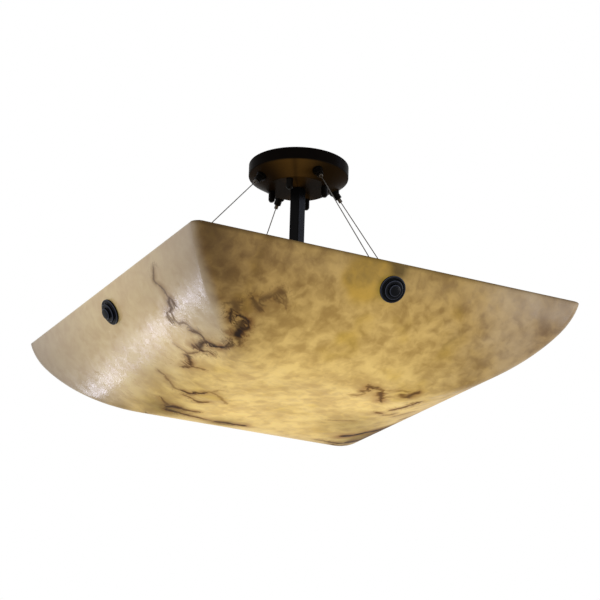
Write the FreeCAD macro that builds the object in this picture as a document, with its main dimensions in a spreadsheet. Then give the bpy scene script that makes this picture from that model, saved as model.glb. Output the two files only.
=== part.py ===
import FreeCAD, Part
import math
import os

import Sketcher

# Semi flush ceiling light: a square resin bowl that hangs on four taut steel cables
# below a spun round canopy, with a square stem that carries a cluster of four lamps.
# Millimetres and degrees. Origin: centre of the canopy's ceiling face. +Z up, and the
# sides of the bowl face along X and Y.

QUARTERS = (0, 90, 180, 270)
DIAGONALS = (45, 135, 225, 315)
SIDES = {"right": 0, "back": 90, "left": 180, "front": 270}
CORNERS = {"back_right": 45, "back_left": 135, "front_left": 225, "front_right": 315}

SIZES = {
    # canopy, spun from sheet: straight wall, cone, flat floor
    "canopy_width": 152.4,
    "canopy_wall_height": 19,
    "canopy_floor_width": 96,
    "canopy_height": 36.6,
    "canopy_gauge": 1.5,
    # round mounting plate, screwed to the ceiling's outlet box
    "plate_width": 118,
    "plate_gauge": 2.5,
    "box_screw_spacing": 88.9,
    "box_slot_width": 4.8,
    "box_slot_length": 14,
    "wire_hole_width": 30,
    # four studs that hold the canopy to the plate
    "stud_circle": 84,
    "stud_width": 4,
    "cap_nut_width": 10,
    "cap_nut_height": 16,
    "cap_nut_taper": 2.2,
    "cap_nut_bottom": 5,
    "stud_nut_flats": 7,
    "stud_nut_height": 3.2,
    "ground_head_width": 8,
    "ground_head_height": 2.6,
    "washer_gauge": 1.2,
    # square stem
    "stem_side": 17,
    "stem_wall": 1.6,
    "stem_edge_radius": 1.2,
    "stem_inner_radius": 0.4,
    "stem_turn": 25,
    "plug_height": 12,
    # threaded lamp pipe, nuts
    "pipe_width": 9.8,
    "pipe_bore": 6,
    "pipe_nut_flats": 15,
    "pipe_nut_height": 4,
    "pipe_washer_width": 20,
    # bowl, a slumped square: lean of the wall at the rim, shoulder arc, belly arc, flat
    "bowl_width": 610,
    "bowl_depth": 130,
    "bowl_wall": 5,
    "bowl_overcut": 4,
    "rim_drop": 255,
    "rim_lean": 13,
    "shoulder_radius": 111,
    "belly_radius": 226,
    "ridge_radius": 12,
    # side finials and what clamps them through the bowl's wall
    "finial_drop": 34,
    "finial_width": 38,
    "finial_step_width": 27,
    "finial_button_width": 16.5,
    "finial_step_height": 3.6,
    "finial_edge": 0.9,
    "finial_crown": 0.6,
    "gasket_width": 30,
    "gasket_gauge": 1.2,
    "bolt_width": 6,
    "bolt_hole_width": 7,
    "inner_washer_width": 20,
    "anchor_width": 12,
    "anchor_length": 17,
    "anchor_mouth_width": 6.4,
    "anchor_tap_depth": 7.5,
    "bolt_engaged": 7,
    # cable and its swaged ball
    "cable_width": 1.6,
    "cable_tail": 22,
    "ball_width": 5.8,
    "ball_depth": 20,
    "ball_end_lean": 54,
    "ball_belt_lean": 20,
    "anchor_throat_width": 3.4,
    # push-release gripper at the top of each cable
    "grip_barrel_width": 11,
    "grip_barrel_end": 13,
    "grip_shank_width": 9.5,
    "grip_shank_length": 16,
    "grip_flange_width": 14,
    "grip_flange_gauge": 2,
    "grip_seat_width": 16,
    "grip_seat_rise": 2.6,
    "grip_inner_rise": 4.2,
    "grip_nut_flats": 13,
    "grip_nut_height": 4,
    "release_width": 6,
    "release_reach": 6.5,
    "release_engaged": 8,
    "release_travel": 3,
    # lamp cluster
    "lamp_drop": 57,
    "hub_width": 56,
    "hub_height": 30,
    "hub_wall": 2,
    "hub_edge": 2,
    "lid_lip": 2,
    "rod_tail": 9,
    "wire_slot_width": 4,
    "wire_slot_height": 12,
    "acorn_width": 17,
    "acorn_skirt": 4,
    "acorn_height": 12.5,
    "acorn_tip_width": 10,
    "arm_nut_flats": 14,
    "arm_nut_height": 3.5,
    "arm_nut_setback": 1.6,
    "holder_width": 35,
    "holder_length": 38,
    "holder_floor": 7,
    "contact_room": 4,
    "holder_back_width": 22,
    "holder_shoulder": 6,
    "shell_gauge": 0.5,
    "shell_floor_hole": 16,
    "shell_recess": 3,
    "contact_length": 14,
    "contact_width": 4,
    "lamp_cap_width": 26.2,
    "lamp_cap_length": 25,
    "lamp_cap_gauge": 0.6,
    "lamp_cap_floor": 6,
    "lamp_cap_round": 5,
    "lamp_tip_width": 6,
    "lamp_tip_height": 1,
    "glass_seat_depth": 9,
    "bulb_width": 60,
    "bulb_length": 108,
    "bulb_neck_width": 27.4,
    "bulb_glass": 1,
    # clearances, measured on the radius unless the name says otherwise
    "thread_gap": 0.1,
    "slide_gap": 0.1,
    "hole_gap": 0.25,
    "lamp_gap": 0.3,
    "seat_gap": 0.3,
    "contact_gap": 0.6,
    "cable_gap": 0.4,
    # bevel on small turned edges, and how far a cutting tool runs past its work
    "bevel": 1,
    "overrun": 1,
}

LAYOUT = {
    # slope of the canopy's cone below the horizontal
    "cone_pitch": "atan2(sizes.canopy_height - sizes.canopy_wall_height;"
    " (sizes.canopy_width - sizes.canopy_floor_width) / 2) / 1 deg",
    # lean of the bowl's wall where the shoulder arc meets the belly arc
    "turn_lean": "asin((sizes.bowl_depth + sizes.shoulder_radius * sin(sizes.rim_lean)"
    " - sizes.belly_radius) / (sizes.shoulder_radius - sizes.belly_radius)) / 1 deg",
    # the finial's axis stands square to the wall at this lean
    "finial_lean": "asin(sin(sizes.rim_lean) + sizes.finial_drop / sizes.shoulder_radius) / 1 deg",
    "finial_out": "sizes.bowl_width / 2"
    " - sizes.shoulder_radius * (cos(sizes.rim_lean) - cos(finial_lean))",
    "finial_level": "-sizes.rim_drop - sizes.finial_drop",
    "ball_out": "finial_out - sizes.ball_depth * cos(finial_lean)",
    "ball_level": "finial_level + sizes.ball_depth * sin(finial_lean)",
    # the gripper's axis leaves the middle of the canopy's cone along the cable
    "grip_out": "(sizes.canopy_width + sizes.canopy_floor_width) / 4",
    "grip_level": "-(sizes.canopy_wall_height + sizes.canopy_height) / 2",
    "cable_run": "sqrt((ball_out - grip_out) ^ 2 + (grip_level - ball_level) ^ 2)",
    "cable_lean": "atan2(ball_out - grip_out; grip_level - ball_level) / 1 deg",
    "lamp_level": "-sizes.rim_drop - sizes.lamp_drop",
    "hub_top": "lamp_level + sizes.hub_height / 2",
    "hub_foot": "lamp_level - sizes.hub_height / 2",
    "cap_start": "sizes.hub_width / 2 + sizes.seat_gap + sizes.holder_floor + sizes.contact_room",
    "contact_end": "cap_start - sizes.lamp_tip_height - sizes.contact_gap",
    # the bulb's neck widens along a concave arc, tangent to the neck and to the round end
    "bulb_centre": "cap_start - sizes.lamp_tip_height + sizes.bulb_length - sizes.bulb_width / 2",
    "flare_start": "cap_start + sizes.lamp_cap_length + 2 * sizes.bevel",
    "flare_radius": "((sizes.bulb_neck_width / 2) ^ 2 + (bulb_centre - flare_start) ^ 2"
    " - (sizes.bulb_width / 2) ^ 2) / (sizes.bulb_width - sizes.bulb_neck_width)",
    "flare_sweep": "asin((bulb_centre - flare_start)"
    " / (sizes.bulb_width / 2 + flare_radius)) / 1 deg",
    "flare_end_out": "sizes.bulb_neck_width / 2 + flare_radius * (1 - cos(flare_sweep))",
    "flare_end_along": "flare_start + flare_radius * sin(flare_sweep)",
}

# Where a piece's own Z axis stands: distance out along X, level, and the turn about Y.
FRAMES = {
    "centre": ("0", "0", "0"),
    "grip": ("layout.grip_out", "layout.grip_level", "180 - layout.cable_lean"),
    "finial": ("layout.finial_out", "layout.finial_level", "90 + layout.finial_lean"),
    "lamp": ("0", "layout.lamp_level", "90"),
}

doc = FreeCAD.newDocument("ceiling_light")
nodes = []


def fill_sheet(name, cells, lead=""):
    """A spreadsheet whose column B holds the values, each under its alias."""
    sheet = doc.addObject("Spreadsheet::Sheet", name)
    for row, (alias, value) in enumerate(cells.items(), start=1):
        sheet.set(f"A{row}", alias)
        sheet.set(f"B{row}", lead + str(value))
        sheet.setAlias(f"B{row}", alias)
    doc.recompute()
    return sheet


sizes = fill_sheet("sizes", SIZES)
layout = fill_sheet("layout", LAYOUT, "=")


def vector(pair):
    return FreeCAD.Vector(pair[0], pair[1], 0)


def arc_between(start, end, radius):
    """An arc that turns left from start to end, or right where the radius is negative."""
    chord = end - start
    side = FreeCAD.Vector(-chord.y, chord.x, 0).normalize()
    sagitta = abs(radius) - math.sqrt(max(radius**2 - chord.Length**2 / 4, 0))
    middle = (start + end) * 0.5 - side * math.copysign(sagitta, radius)
    return Part.Arc(start, middle, end)


def draw_loop(sketch, points):
    """A closed loop of lines and arcs whose corners and radii are bound to expressions.

    A point is (x, y), reached by a line, or (x, y, radius), reached by an arc.
    """
    places = [vector([float(sketch.evalExpression(part)) for part in p[:2]]) for p in points]
    base = sketch.GeometryCount
    ends = []
    for index, point in enumerate(points):
        start, end = places[index - 1], places[index]
        if len(point) == 2:
            sketch.addGeometry(Part.LineSegment(start, end), False)
            ends.append((1, 2))
            continue
        radius = float(sketch.evalExpression(point[2]))
        sketch.addGeometry(arc_between(start, end, radius), False)
        ends.append((1, 2) if radius > 0 else (2, 1))
    for index, point in enumerate(points):
        curve = base + index
        following = (index + 1) % len(points)
        corner = ends[index][1]
        join = (curve, corner, base + following, ends[following][0])
        sketch.addConstraint(Sketcher.Constraint("Coincident", *join))
        for kind, value, part in zip(("DistanceX", "DistanceY"), places[index], point):
            bind(sketch, Sketcher.Constraint(kind, -1, 1, curve, corner, value), part)
        if len(point) == 3:
            radius = float(sketch.evalExpression(point[2]))
            bind(sketch, Sketcher.Constraint("Radius", curve, abs(radius)), f"abs({point[2]})")


def draw_circle(sketch, radius):
    value = float(sketch.evalExpression(radius))
    circle = Part.Circle(FreeCAD.Vector(0, 0, 0), FreeCAD.Vector(0, 0, 1), value)
    curve = sketch.addGeometry(circle, False)
    sketch.addConstraint(Sketcher.Constraint("Coincident", curve, 3, -1, 1))
    bind(sketch, Sketcher.Constraint("Radius", curve, value), radius)


def bind(sketch, constraint, expression):
    index = sketch.addConstraint(constraint)
    sketch.setExpression(f"Constraints[{index}]", expression)


def sketch_on(body, role, loops, offset="0"):
    """A sketch on one of the body's own origin planes, moved along its normal by offset."""
    name = f"{body.Name}_{role[:2].lower()}_outline"
    sketch = body.newObject("Sketcher::SketchObject", name)
    plane = next(f for f in body.Origin.OriginFeatures if f.Role == role)
    sketch.AttachmentSupport = [(plane, "")]
    sketch.MapMode = "FlatFace"
    sketch.setExpression("AttachmentOffset.Base.z", offset)
    for loop in loops:
        if isinstance(loop, str):
            draw_circle(sketch, loop)
        else:
            draw_loop(sketch, loop)
    return sketch


def place(piece, frame, spin=0):
    """Stands the piece on a frame, turned about the frame's own axis by spin."""
    out, level, tilt = FRAMES[frame]
    if frame == "centre":
        piece.Placement.Rotation = FreeCAD.Rotation(FreeCAD.Vector(0, 0, 1), 1)
        piece.setExpression("Placement.Rotation.Angle", str(spin))
        return piece
    piece.Placement.Rotation = FreeCAD.Rotation(FreeCAD.Vector(0, 1, 0), 1)
    piece.setExpression("Placement.Base.x", out)
    piece.setExpression("Placement.Base.z", level)
    piece.setExpression("Placement.Rotation.Angle", tilt)
    return piece


def turned(label, points, frame="centre"):
    """A solid of revolution about the frame's axis. A point is (radius, height)."""
    body = doc.addObject("PartDesign::Body", label)
    sketch = sketch_on(body, "XZ_Plane", [points])
    lathe = body.newObject("PartDesign::Revolution", f"{label}_turned")
    lathe.Profile = sketch
    lathe.ReferenceAxis = (sketch, ["V_Axis"])
    lathe.Angle = 360
    return place(body, frame)


def padded(label, loops, start, length, frame="centre", spin=0):
    """A prism along the frame's axis, from start over length."""
    body = doc.addObject("PartDesign::Body", label)
    sketch = sketch_on(body, "XY_Plane", loops, start)
    pad = body.newObject("PartDesign::Pad", f"{label}_pad")
    pad.Profile = sketch
    pad.setExpression("Length", length)
    return place(body, frame, spin)


def tube(outer, inner, start, end):
    """The half section of a tube, or of a rod where inner is 0."""
    return [(inner, start), (outer, start), (outer, end), (inner, end)]


def around(label, piece, turns):
    """Copies of a piece, turned about the canopy's axis."""
    links = []
    for index, turn in enumerate(turns):
        link = doc.addObject("App::Link", f"{label}_{index}")
        link.LinkedObject = piece
        link.LinkTransform = True
        link.Placement.Rotation = FreeCAD.Rotation(FreeCAD.Vector(0, 0, 1), turn)
        links.append(link)
    group = doc.addObject("Part::Compound", label)
    group.Links = links
    return group


def boolean(kind, label, base, tool):
    result = doc.addObject(f"Part::{kind}", label)
    result.Base = base
    result.Tool = tool
    return result


def keep(label, piece):
    """Marks a finished piece as a node of that name."""
    piece.Label = label
    nodes.append(piece)
    return piece


def hexagon(flats):
    """The corners of a hexagon that is flats wide across its flats."""
    reach = f"{flats} / 2 / cos(30)"
    return [(f"{reach} * cos({60 * k})", f"{reach} * sin({60 * k})") for k in range(6)]


def rectangle(half_x, half_y):
    return [
        (f"-({half_x})", f"-({half_y})"),
        (half_x, f"-({half_y})"),
        (half_x, half_y),
        (f"-({half_x})", half_y),
    ]


def rounded_square(half, radius):
    inner = f"({half} - {radius})"
    return [
        (inner, f"-{half}"),
        (half, f"-{inner}", radius),
        (half, inner),
        (inner, half, radius),
        (f"-{inner}", half),
        (f"-{half}", inner, radius),
        (f"-{half}", f"-{inner}"),
        (f"-{inner}", f"-{half}", radius),
    ]


# ---- canopy ---------------------------------------------------------------------------
# A cup open to the ceiling. The inside is the outside moved in by the gauge.

canopy_outside = turned(
    "canopy_outside",
    [
        ("0", "-sizes.canopy_height"),
        ("sizes.canopy_floor_width / 2", "-sizes.canopy_height"),
        ("sizes.canopy_width / 2", "-sizes.canopy_wall_height"),
        ("sizes.canopy_width / 2", "0"),
        ("0", "0"),
    ],
)
canopy_inside = turned(
    "canopy_inside",
    [
        ("0", "-sizes.canopy_height + sizes.canopy_gauge"),
        (
            "sizes.canopy_floor_width / 2 - sizes.canopy_gauge * tan(layout.cone_pitch / 2)",
            "-sizes.canopy_height + sizes.canopy_gauge",
        ),
        (
            "sizes.canopy_width / 2 - sizes.canopy_gauge",
            "-sizes.canopy_wall_height + sizes.canopy_gauge * cos(layout.cone_pitch)"
            " / (1 + sin(layout.cone_pitch))",
        ),
        ("sizes.canopy_width / 2 - sizes.canopy_gauge", "sizes.canopy_gauge"),
        ("0", "sizes.canopy_gauge"),
    ],
)
canopy_shell = boolean("Cut", "canopy_shell", canopy_outside, canopy_inside)

PIPE = "sizes.pipe_width / 2"
PIPE_HOLE = f"({PIPE} + sizes.hole_gap)"
PIPE_THREAD = f"({PIPE} + sizes.thread_gap)"
STUD = "sizes.stud_width / 2"
STUD_HOLE = f"({STUD} + sizes.hole_gap)"
STUD_THREAD = f"({STUD} + sizes.thread_gap)"
SHANK = "sizes.grip_shank_width / 2"
SHANK_HOLE = f"({SHANK} + sizes.hole_gap)"
SHANK_THREAD = f"({SHANK} + sizes.thread_gap)"
FLOOR_TOP = "(-sizes.canopy_height + sizes.canopy_gauge)"

UNDER_CANOPY = "(-sizes.canopy_height - sizes.overrun)"

stem_hole = turned("stem_hole", tube(PIPE_HOLE, "0", UNDER_CANOPY, "0"))
stud_drill = turned("stud_drill", tube(STUD_HOLE, "0", UNDER_CANOPY, "0"))
stud_drill.setExpression("Placement.Base.x", "sizes.stud_circle / 2")
grip_drill = turned(
    "grip_drill",
    tube(SHANK_HOLE, "0", "-sizes.grip_shank_length", "sizes.grip_shank_length"),
    "grip",
)
canopy_drills = doc.addObject("Part::Compound", "canopy_drills")
canopy_drills.Links = [
    stem_hole,
    around("stud_holes", stud_drill, DIAGONALS),
    around("grip_holes", grip_drill, QUARTERS),
]
keep("canopy", boolean("Cut", "canopy_cut", canopy_shell, canopy_drills))


# ---- mounting plate and the studs that hold the canopy up to it -----------------------


def slot_loop(centre):
    """A slot along X: straight sides and two quarter arcs at each end."""
    radius = "sizes.box_slot_width / 2"
    half = "(sizes.box_slot_length - sizes.box_slot_width) / 2"
    return [
        (f"{centre} + {half}", f"-{radius}"),
        (f"{centre} + {half} + {radius}", "0", radius),
        (f"{centre} + {half}", radius, radius),
        (f"{centre} - {half}", radius),
        (f"{centre} - {half} - {radius}", "0", radius),
        (f"{centre} - {half}", f"-{radius}", radius),
    ]


plate_blank = padded(
    "plate_blank",
    [
        "sizes.plate_width / 2",
        "sizes.wire_hole_width / 2",
        slot_loop("sizes.box_screw_spacing / 2"),
        slot_loop("-sizes.box_screw_spacing / 2"),
    ],
    "-sizes.plate_gauge",
    "sizes.plate_gauge",
)
tap_section = tube(
    STUD_THREAD, "0", "-sizes.plate_gauge - sizes.overrun", "sizes.overrun"
)
plate_tap = turned("plate_tap", tap_section)
plate_tap.setExpression("Placement.Base.x", "sizes.stud_circle / 2")
ground_tap = turned("ground_tap", tap_section)
ground_tap.setExpression("Placement.Base.y", "-sizes.stud_circle / 2")
plate_taps = doc.addObject("Part::Compound", "plate_taps")
plate_taps.Links = [around("stud_taps", plate_tap, DIAGONALS), ground_tap]
keep("mounting_plate", boolean("Cut", "plate_cut", plate_blank, plate_taps))

UNDER_WASHER = "(-sizes.canopy_height - sizes.washer_gauge)"
CAP_NUT_FOOT = f"({UNDER_WASHER} - sizes.cap_nut_height)"
CAP_NUT = "sizes.cap_nut_width / 2"

stud = turned(
    "stud",
    tube(STUD, "0", f"{UNDER_WASHER} - sizes.cap_nut_height / 2", "-sizes.thread_gap"),
)
stud_nut = padded(
    "stud_nut",
    [hexagon("sizes.stud_nut_flats"), STUD_THREAD],
    "-sizes.plate_gauge - sizes.stud_nut_height",
    "sizes.stud_nut_height",
)
cap_washer = turned(
    "cap_washer", tube(CAP_NUT, STUD_HOLE, UNDER_WASHER, "-sizes.canopy_height")
)
cap_nut = turned(
    "cap_nut",
    [
        (STUD_THREAD, UNDER_WASHER),
        (f"{CAP_NUT} - sizes.bevel / 2", UNDER_WASHER),
        (CAP_NUT, f"{UNDER_WASHER} - sizes.bevel / 2"),
        (CAP_NUT, f"{CAP_NUT_FOOT} + sizes.cap_nut_taper"),
        (f"{CAP_NUT} - sizes.cap_nut_taper", CAP_NUT_FOOT),
        ("0", CAP_NUT_FOOT),
        ("0", f"{CAP_NUT_FOOT} + sizes.cap_nut_bottom"),
        (STUD_THREAD, f"{CAP_NUT_FOOT} + sizes.cap_nut_bottom + sizes.bevel"),
    ],
)
for piece in (stud, stud_nut, cap_washer, cap_nut):
    piece.setExpression("Placement.Base.x", "sizes.stud_circle / 2")
keep("canopy_studs", around("canopy_studs", stud, DIAGONALS))
keep("stud_nuts", around("stud_nuts", stud_nut, DIAGONALS))
keep("cap_nut_washers", around("cap_nut_washers", cap_washer, DIAGONALS))
keep("canopy_cap_nuts", around("canopy_cap_nuts", cap_nut, DIAGONALS))

GROUND_HEAD = "sizes.ground_head_width / 2"
GROUND_HEAD_TOP = "(-sizes.plate_gauge - sizes.ground_head_height)"
ground_screw = turned(
    "ground_screw",
    [
        ("0", GROUND_HEAD_TOP),
        (f"{GROUND_HEAD} - sizes.bevel", GROUND_HEAD_TOP),
        (GROUND_HEAD, f"{GROUND_HEAD_TOP} + sizes.bevel"),
        (GROUND_HEAD, "-sizes.plate_gauge"),
        (STUD, "-sizes.plate_gauge"),
        (STUD, "-sizes.thread_gap"),
        ("0", "-sizes.thread_gap"),
    ],
)
ground_screw.setExpression("Placement.Base.y", "-sizes.stud_circle / 2")
keep("ground_screw", ground_screw)


# ---- stem -----------------------------------------------------------------------------
# A square tube with a tapped plug in each end. A short pipe hangs it from the canopy's
# floor, and the rod of the lamp cluster screws into its foot.

STEM_HALF = "sizes.stem_side / 2"
STEM_INSIDE = f"({STEM_HALF} - sizes.stem_wall)"
STEM_TOP = "-sizes.canopy_height"
PLUG_HALF = f"({STEM_INSIDE} - sizes.thread_gap)"

keep(
    "stem",
    padded(
        "stem_tube",
        [
            rounded_square(STEM_HALF, "sizes.stem_edge_radius"),
            rounded_square(STEM_INSIDE, "sizes.stem_inner_radius"),
        ],
        "layout.hub_top",
        f"{STEM_TOP} - layout.hub_top",
        spin="sizes.stem_turn",
    ),
)
for label, start in (
    ("stem_top_plug", f"{STEM_TOP} - sizes.plug_height"),
    ("stem_foot_plug", "layout.hub_top"),
):
    plug = padded(
        f"{label}_block",
        [rounded_square(PLUG_HALF, "sizes.stem_inner_radius"), PIPE_THREAD],
        start,
        "sizes.plug_height",
        spin="sizes.stem_turn",
    )
    keep(label, plug)

LOCK_WASHER_TOP = f"({FLOOR_TOP} + sizes.washer_gauge)"
LOCK_NUT_TOP = f"({LOCK_WASHER_TOP} + sizes.pipe_nut_height)"
PIPE_BORE = "sizes.pipe_bore / 2"

keep(
    "stem_pipe",
    turned(
        "stem_pipe",
        tube(
            PIPE,
            PIPE_BORE,
            f"{STEM_TOP} - sizes.plug_height + sizes.bevel",
            f"{LOCK_NUT_TOP} + 2 * sizes.bevel",
        ),
    ),
)
keep(
    "stem_washer",
    turned(
        "stem_washer",
        tube("sizes.pipe_washer_width / 2", PIPE_HOLE, FLOOR_TOP, LOCK_WASHER_TOP),
    ),
)
keep(
    "stem_lock_nut",
    padded(
        "stem_lock_nut",
        [hexagon("sizes.pipe_nut_flats"), PIPE_THREAD],
        LOCK_WASHER_TOP,
        "sizes.pipe_nut_height",
    ),
)


# ---- lamp cluster ---------------------------------------------------------------------
# A drum on the end of the stem. Its lid is held by an acorn nut on the through rod, and
# four short pipes carry the lampholders.

HUB = "sizes.hub_width / 2"
HUB_INSIDE = f"({HUB} - sizes.hub_wall)"

hub_drum = turned(
    "hub_drum",
    [
        (PIPE_HOLE, "layout.hub_top"),
        (f"{HUB} - sizes.hub_edge", "layout.hub_top"),
        (HUB, "layout.hub_top - sizes.hub_edge"),
        (HUB, "layout.hub_foot"),
        (HUB_INSIDE, "layout.hub_foot"),
        (HUB_INSIDE, "layout.hub_top - sizes.hub_wall"),
        (PIPE_HOLE, "layout.hub_top - sizes.hub_wall"),
    ],
)
arm_drill = turned(
    "arm_drill", tube(PIPE_HOLE, "0", f"{HUB} / 2", f"{HUB} + sizes.overrun"), "lamp"
)
keep("lamp_hub", boolean("Cut", "hub_cut", hub_drum, around("arm_holes", arm_drill, DIAGONALS)))
LID_FOOT = "(layout.hub_foot - sizes.hub_wall)"
keep(
    "hub_lid",
    turned(
        "hub_lid",
        [
            (PIPE_HOLE, LID_FOOT),
            (f"{HUB} - sizes.bevel", LID_FOOT),
            (HUB, f"{LID_FOOT} + sizes.bevel"),
            (HUB, "layout.hub_foot"),
            (f"{HUB_INSIDE} - sizes.seat_gap", "layout.hub_foot"),
            (f"{HUB_INSIDE} - sizes.seat_gap", "layout.hub_foot + sizes.lid_lip"),
            (f"{HUB_INSIDE} - sizes.lid_lip", "layout.hub_foot + sizes.lid_lip"),
            (f"{HUB_INSIDE} - sizes.lid_lip", "layout.hub_foot"),
            (PIPE_HOLE, "layout.hub_foot"),
        ],
    ),
)
rod_blank = turned(
    "rod_blank",
    tube(
        PIPE,
        PIPE_BORE,
        f"{LID_FOOT} - sizes.rod_tail",
        "layout.hub_top + sizes.plug_height - sizes.bevel",
    ),
)
wire_slot = padded(
    "wire_slot",
    [rectangle("sizes.wire_slot_width / 2", "sizes.pipe_width / 2 + sizes.overrun")],
    "layout.lamp_level - sizes.wire_slot_height / 2",
    "sizes.wire_slot_height",
    spin="sizes.stem_turn",
)
keep("cluster_rod", boolean("Cut", "rod_cut", rod_blank, wire_slot))
keep(
    "hub_lock_nut",
    padded(
        "hub_lock_nut",
        [hexagon("sizes.pipe_nut_flats"), PIPE_THREAD],
        "layout.hub_top - sizes.hub_wall - sizes.pipe_nut_height",
        "sizes.pipe_nut_height",
    ),
)
keep(
    "hub_acorn_nut",
    turned(
        "hub_acorn_nut",
        [
            (PIPE_THREAD, LID_FOOT),
            ("sizes.acorn_width / 2", LID_FOOT),
            ("sizes.acorn_width / 2", f"{LID_FOOT} - sizes.acorn_skirt"),
            ("sizes.acorn_tip_width / 2", f"{LID_FOOT} - sizes.acorn_height"),
            ("0", f"{LID_FOOT} - sizes.acorn_height"),
            ("0", f"{LID_FOOT} - sizes.acorn_height + 1.5 * sizes.bevel"),
            (PIPE_THREAD, f"{LID_FOOT} - sizes.rod_tail - sizes.seat_gap"),
        ],
    ),
)

ARM_NUT_FACE = f"({HUB_INSIDE} - sizes.arm_nut_setback)"
HOLDER_BACK = f"({HUB} + sizes.seat_gap)"
HOLDER_FLOOR = f"({HOLDER_BACK} + sizes.holder_floor)"
CAP = "sizes.lamp_cap_width / 2"
SHELL_INSIDE = f"({CAP} + sizes.lamp_gap)"
SHELL_OUTSIDE = f"({SHELL_INSIDE} + sizes.shell_gauge)"
HOLDER_INSIDE = f"({SHELL_OUTSIDE} + sizes.seat_gap)"
HOLDER_END = f"({HOLDER_BACK} + sizes.holder_length)"

arm_pipe = turned(
    "arm_pipe",
    tube(
        PIPE,
        PIPE_BORE,
        f"{ARM_NUT_FACE} - sizes.arm_nut_height - sizes.bevel",
        f"{HOLDER_FLOOR} - sizes.bevel",
    ),
    "lamp",
)
arm_nut = padded(
    "arm_nut",
    [hexagon("sizes.arm_nut_flats"), PIPE_THREAD],
    f"{ARM_NUT_FACE} - sizes.arm_nut_height",
    "sizes.arm_nut_height",
    "lamp",
)
holder = turned(
    "holder",
    [
        (PIPE_THREAD, HOLDER_BACK),
        ("sizes.holder_back_width / 2", HOLDER_BACK),
        ("sizes.holder_width / 2", f"{HOLDER_BACK} + sizes.holder_shoulder"),
        ("sizes.holder_width / 2", HOLDER_END),
        (HOLDER_INSIDE, HOLDER_END),
        (HOLDER_INSIDE, HOLDER_FLOOR),
        (PIPE_THREAD, HOLDER_FLOOR),
    ],
    "lamp",
)
screw_shell = turned(
    "screw_shell",
    [
        ("sizes.shell_floor_hole / 2", HOLDER_FLOOR),
        (SHELL_OUTSIDE, HOLDER_FLOOR),
        (SHELL_OUTSIDE, f"{HOLDER_END} - sizes.shell_recess"),
        (SHELL_INSIDE, f"{HOLDER_END} - sizes.shell_recess"),
        (SHELL_INSIDE, f"{HOLDER_FLOOR} + sizes.shell_gauge"),
        ("sizes.shell_floor_hole / 2", f"{HOLDER_FLOOR} + sizes.shell_gauge"),
    ],
    "lamp",
)
centre_contact = padded(
    "centre_contact",
    [rectangle("sizes.contact_length / 2", "sizes.contact_width / 2")],
    HOLDER_FLOOR,
    f"layout.contact_end - {HOLDER_FLOOR}",
    "lamp",
)
keep("lampholder_pipes", around("lampholder_pipes", arm_pipe, DIAGONALS))
keep("lampholder_nuts", around("lampholder_nuts", arm_nut, DIAGONALS))
keep("lampholders", around("lampholders", holder, DIAGONALS))
keep("screw_shells", around("screw_shells", screw_shell, DIAGONALS))
keep("centre_contacts", around("centre_contacts", centre_contact, DIAGONALS))

# A lamp: a metal cap with its contact, and a frosted glass bulb cemented into it.
CAP_RIM = "(layout.cap_start + sizes.lamp_cap_length)"
CAP_INSIDE = f"({CAP} - sizes.lamp_cap_gauge)"
CAP_TIP = "sizes.lamp_tip_width / 2"
NECK = f"({CAP_INSIDE} - sizes.thread_gap)"
BULB = "sizes.bulb_width / 2"
ROUND_LEANS = (-10, 15, 50, 90)


def round_point(lean, inset):
    """A point of the bulb's round end, that many degrees ahead of its middle."""
    radius = f"({BULB} - {inset})"
    return f"{radius} * cos({lean})", f"layout.bulb_centre + {radius} * sin({lean})"


lamp_cap = turned(
    "lamp_cap",
    [
        ("0", "layout.cap_start - sizes.lamp_tip_height"),
        (CAP_TIP, "layout.cap_start - sizes.lamp_tip_height"),
        (CAP_TIP, "layout.cap_start"),
        (CAP, "layout.cap_start + sizes.lamp_cap_round"),
        (CAP, CAP_RIM),
        (CAP_INSIDE, CAP_RIM),
        (CAP_INSIDE, "layout.cap_start + sizes.lamp_cap_floor"),
        ("0", "layout.cap_start + sizes.lamp_cap_floor"),
    ],
    "lamp",
)
bulb = turned(
    "bulb",
    [
        (f"{NECK} - sizes.bulb_glass", f"{CAP_RIM} - sizes.glass_seat_depth"),
        (NECK, f"{CAP_RIM} - sizes.glass_seat_depth"),
        (NECK, f"{CAP_RIM} + sizes.bevel / 2"),
        ("sizes.bulb_neck_width / 2", "layout.flare_start"),
        ("layout.flare_end_out", "layout.flare_end_along"),
        *[round_point(lean, "0") for lean in ROUND_LEANS],
        *[round_point(lean, "sizes.bulb_glass") for lean in reversed(ROUND_LEANS)],
        ("layout.flare_end_out - sizes.bulb_glass", "layout.flare_end_along"),
        (f"{NECK} - sizes.bulb_glass", "layout.flare_start"),
    ],
    "lamp",
)
for corner, turn in CORNERS.items():
    keep(f"lamp_cap_{corner}", around(f"lamp_cap_{corner}", lamp_cap, [turn]))
    keep(f"bulb_{corner}", around(f"bulb_{corner}", bulb, [turn]))


# ---- bowl -----------------------------------------------------------------------------
# A slumped square. Its section is the same along X and along Y, so each form is a trough
# cut to the same section from the other side, with its four ridges rounded.

RIM = "-sizes.rim_drop"


def shoulder_point(lean, inset):
    """Out and level of the shoulder arc where the wall leans that much, moved in by inset."""
    out = (
        "(sizes.bowl_width / 2"
        f" - sizes.shoulder_radius * (cos(sizes.rim_lean) - cos({lean})) - {inset} * cos({lean}))"
    )
    level = (
        f"({RIM} - sizes.shoulder_radius * (sin({lean}) - sin(sizes.rim_lean))"
        f" + {inset} * sin({lean}))"
    )
    return out, level


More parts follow.
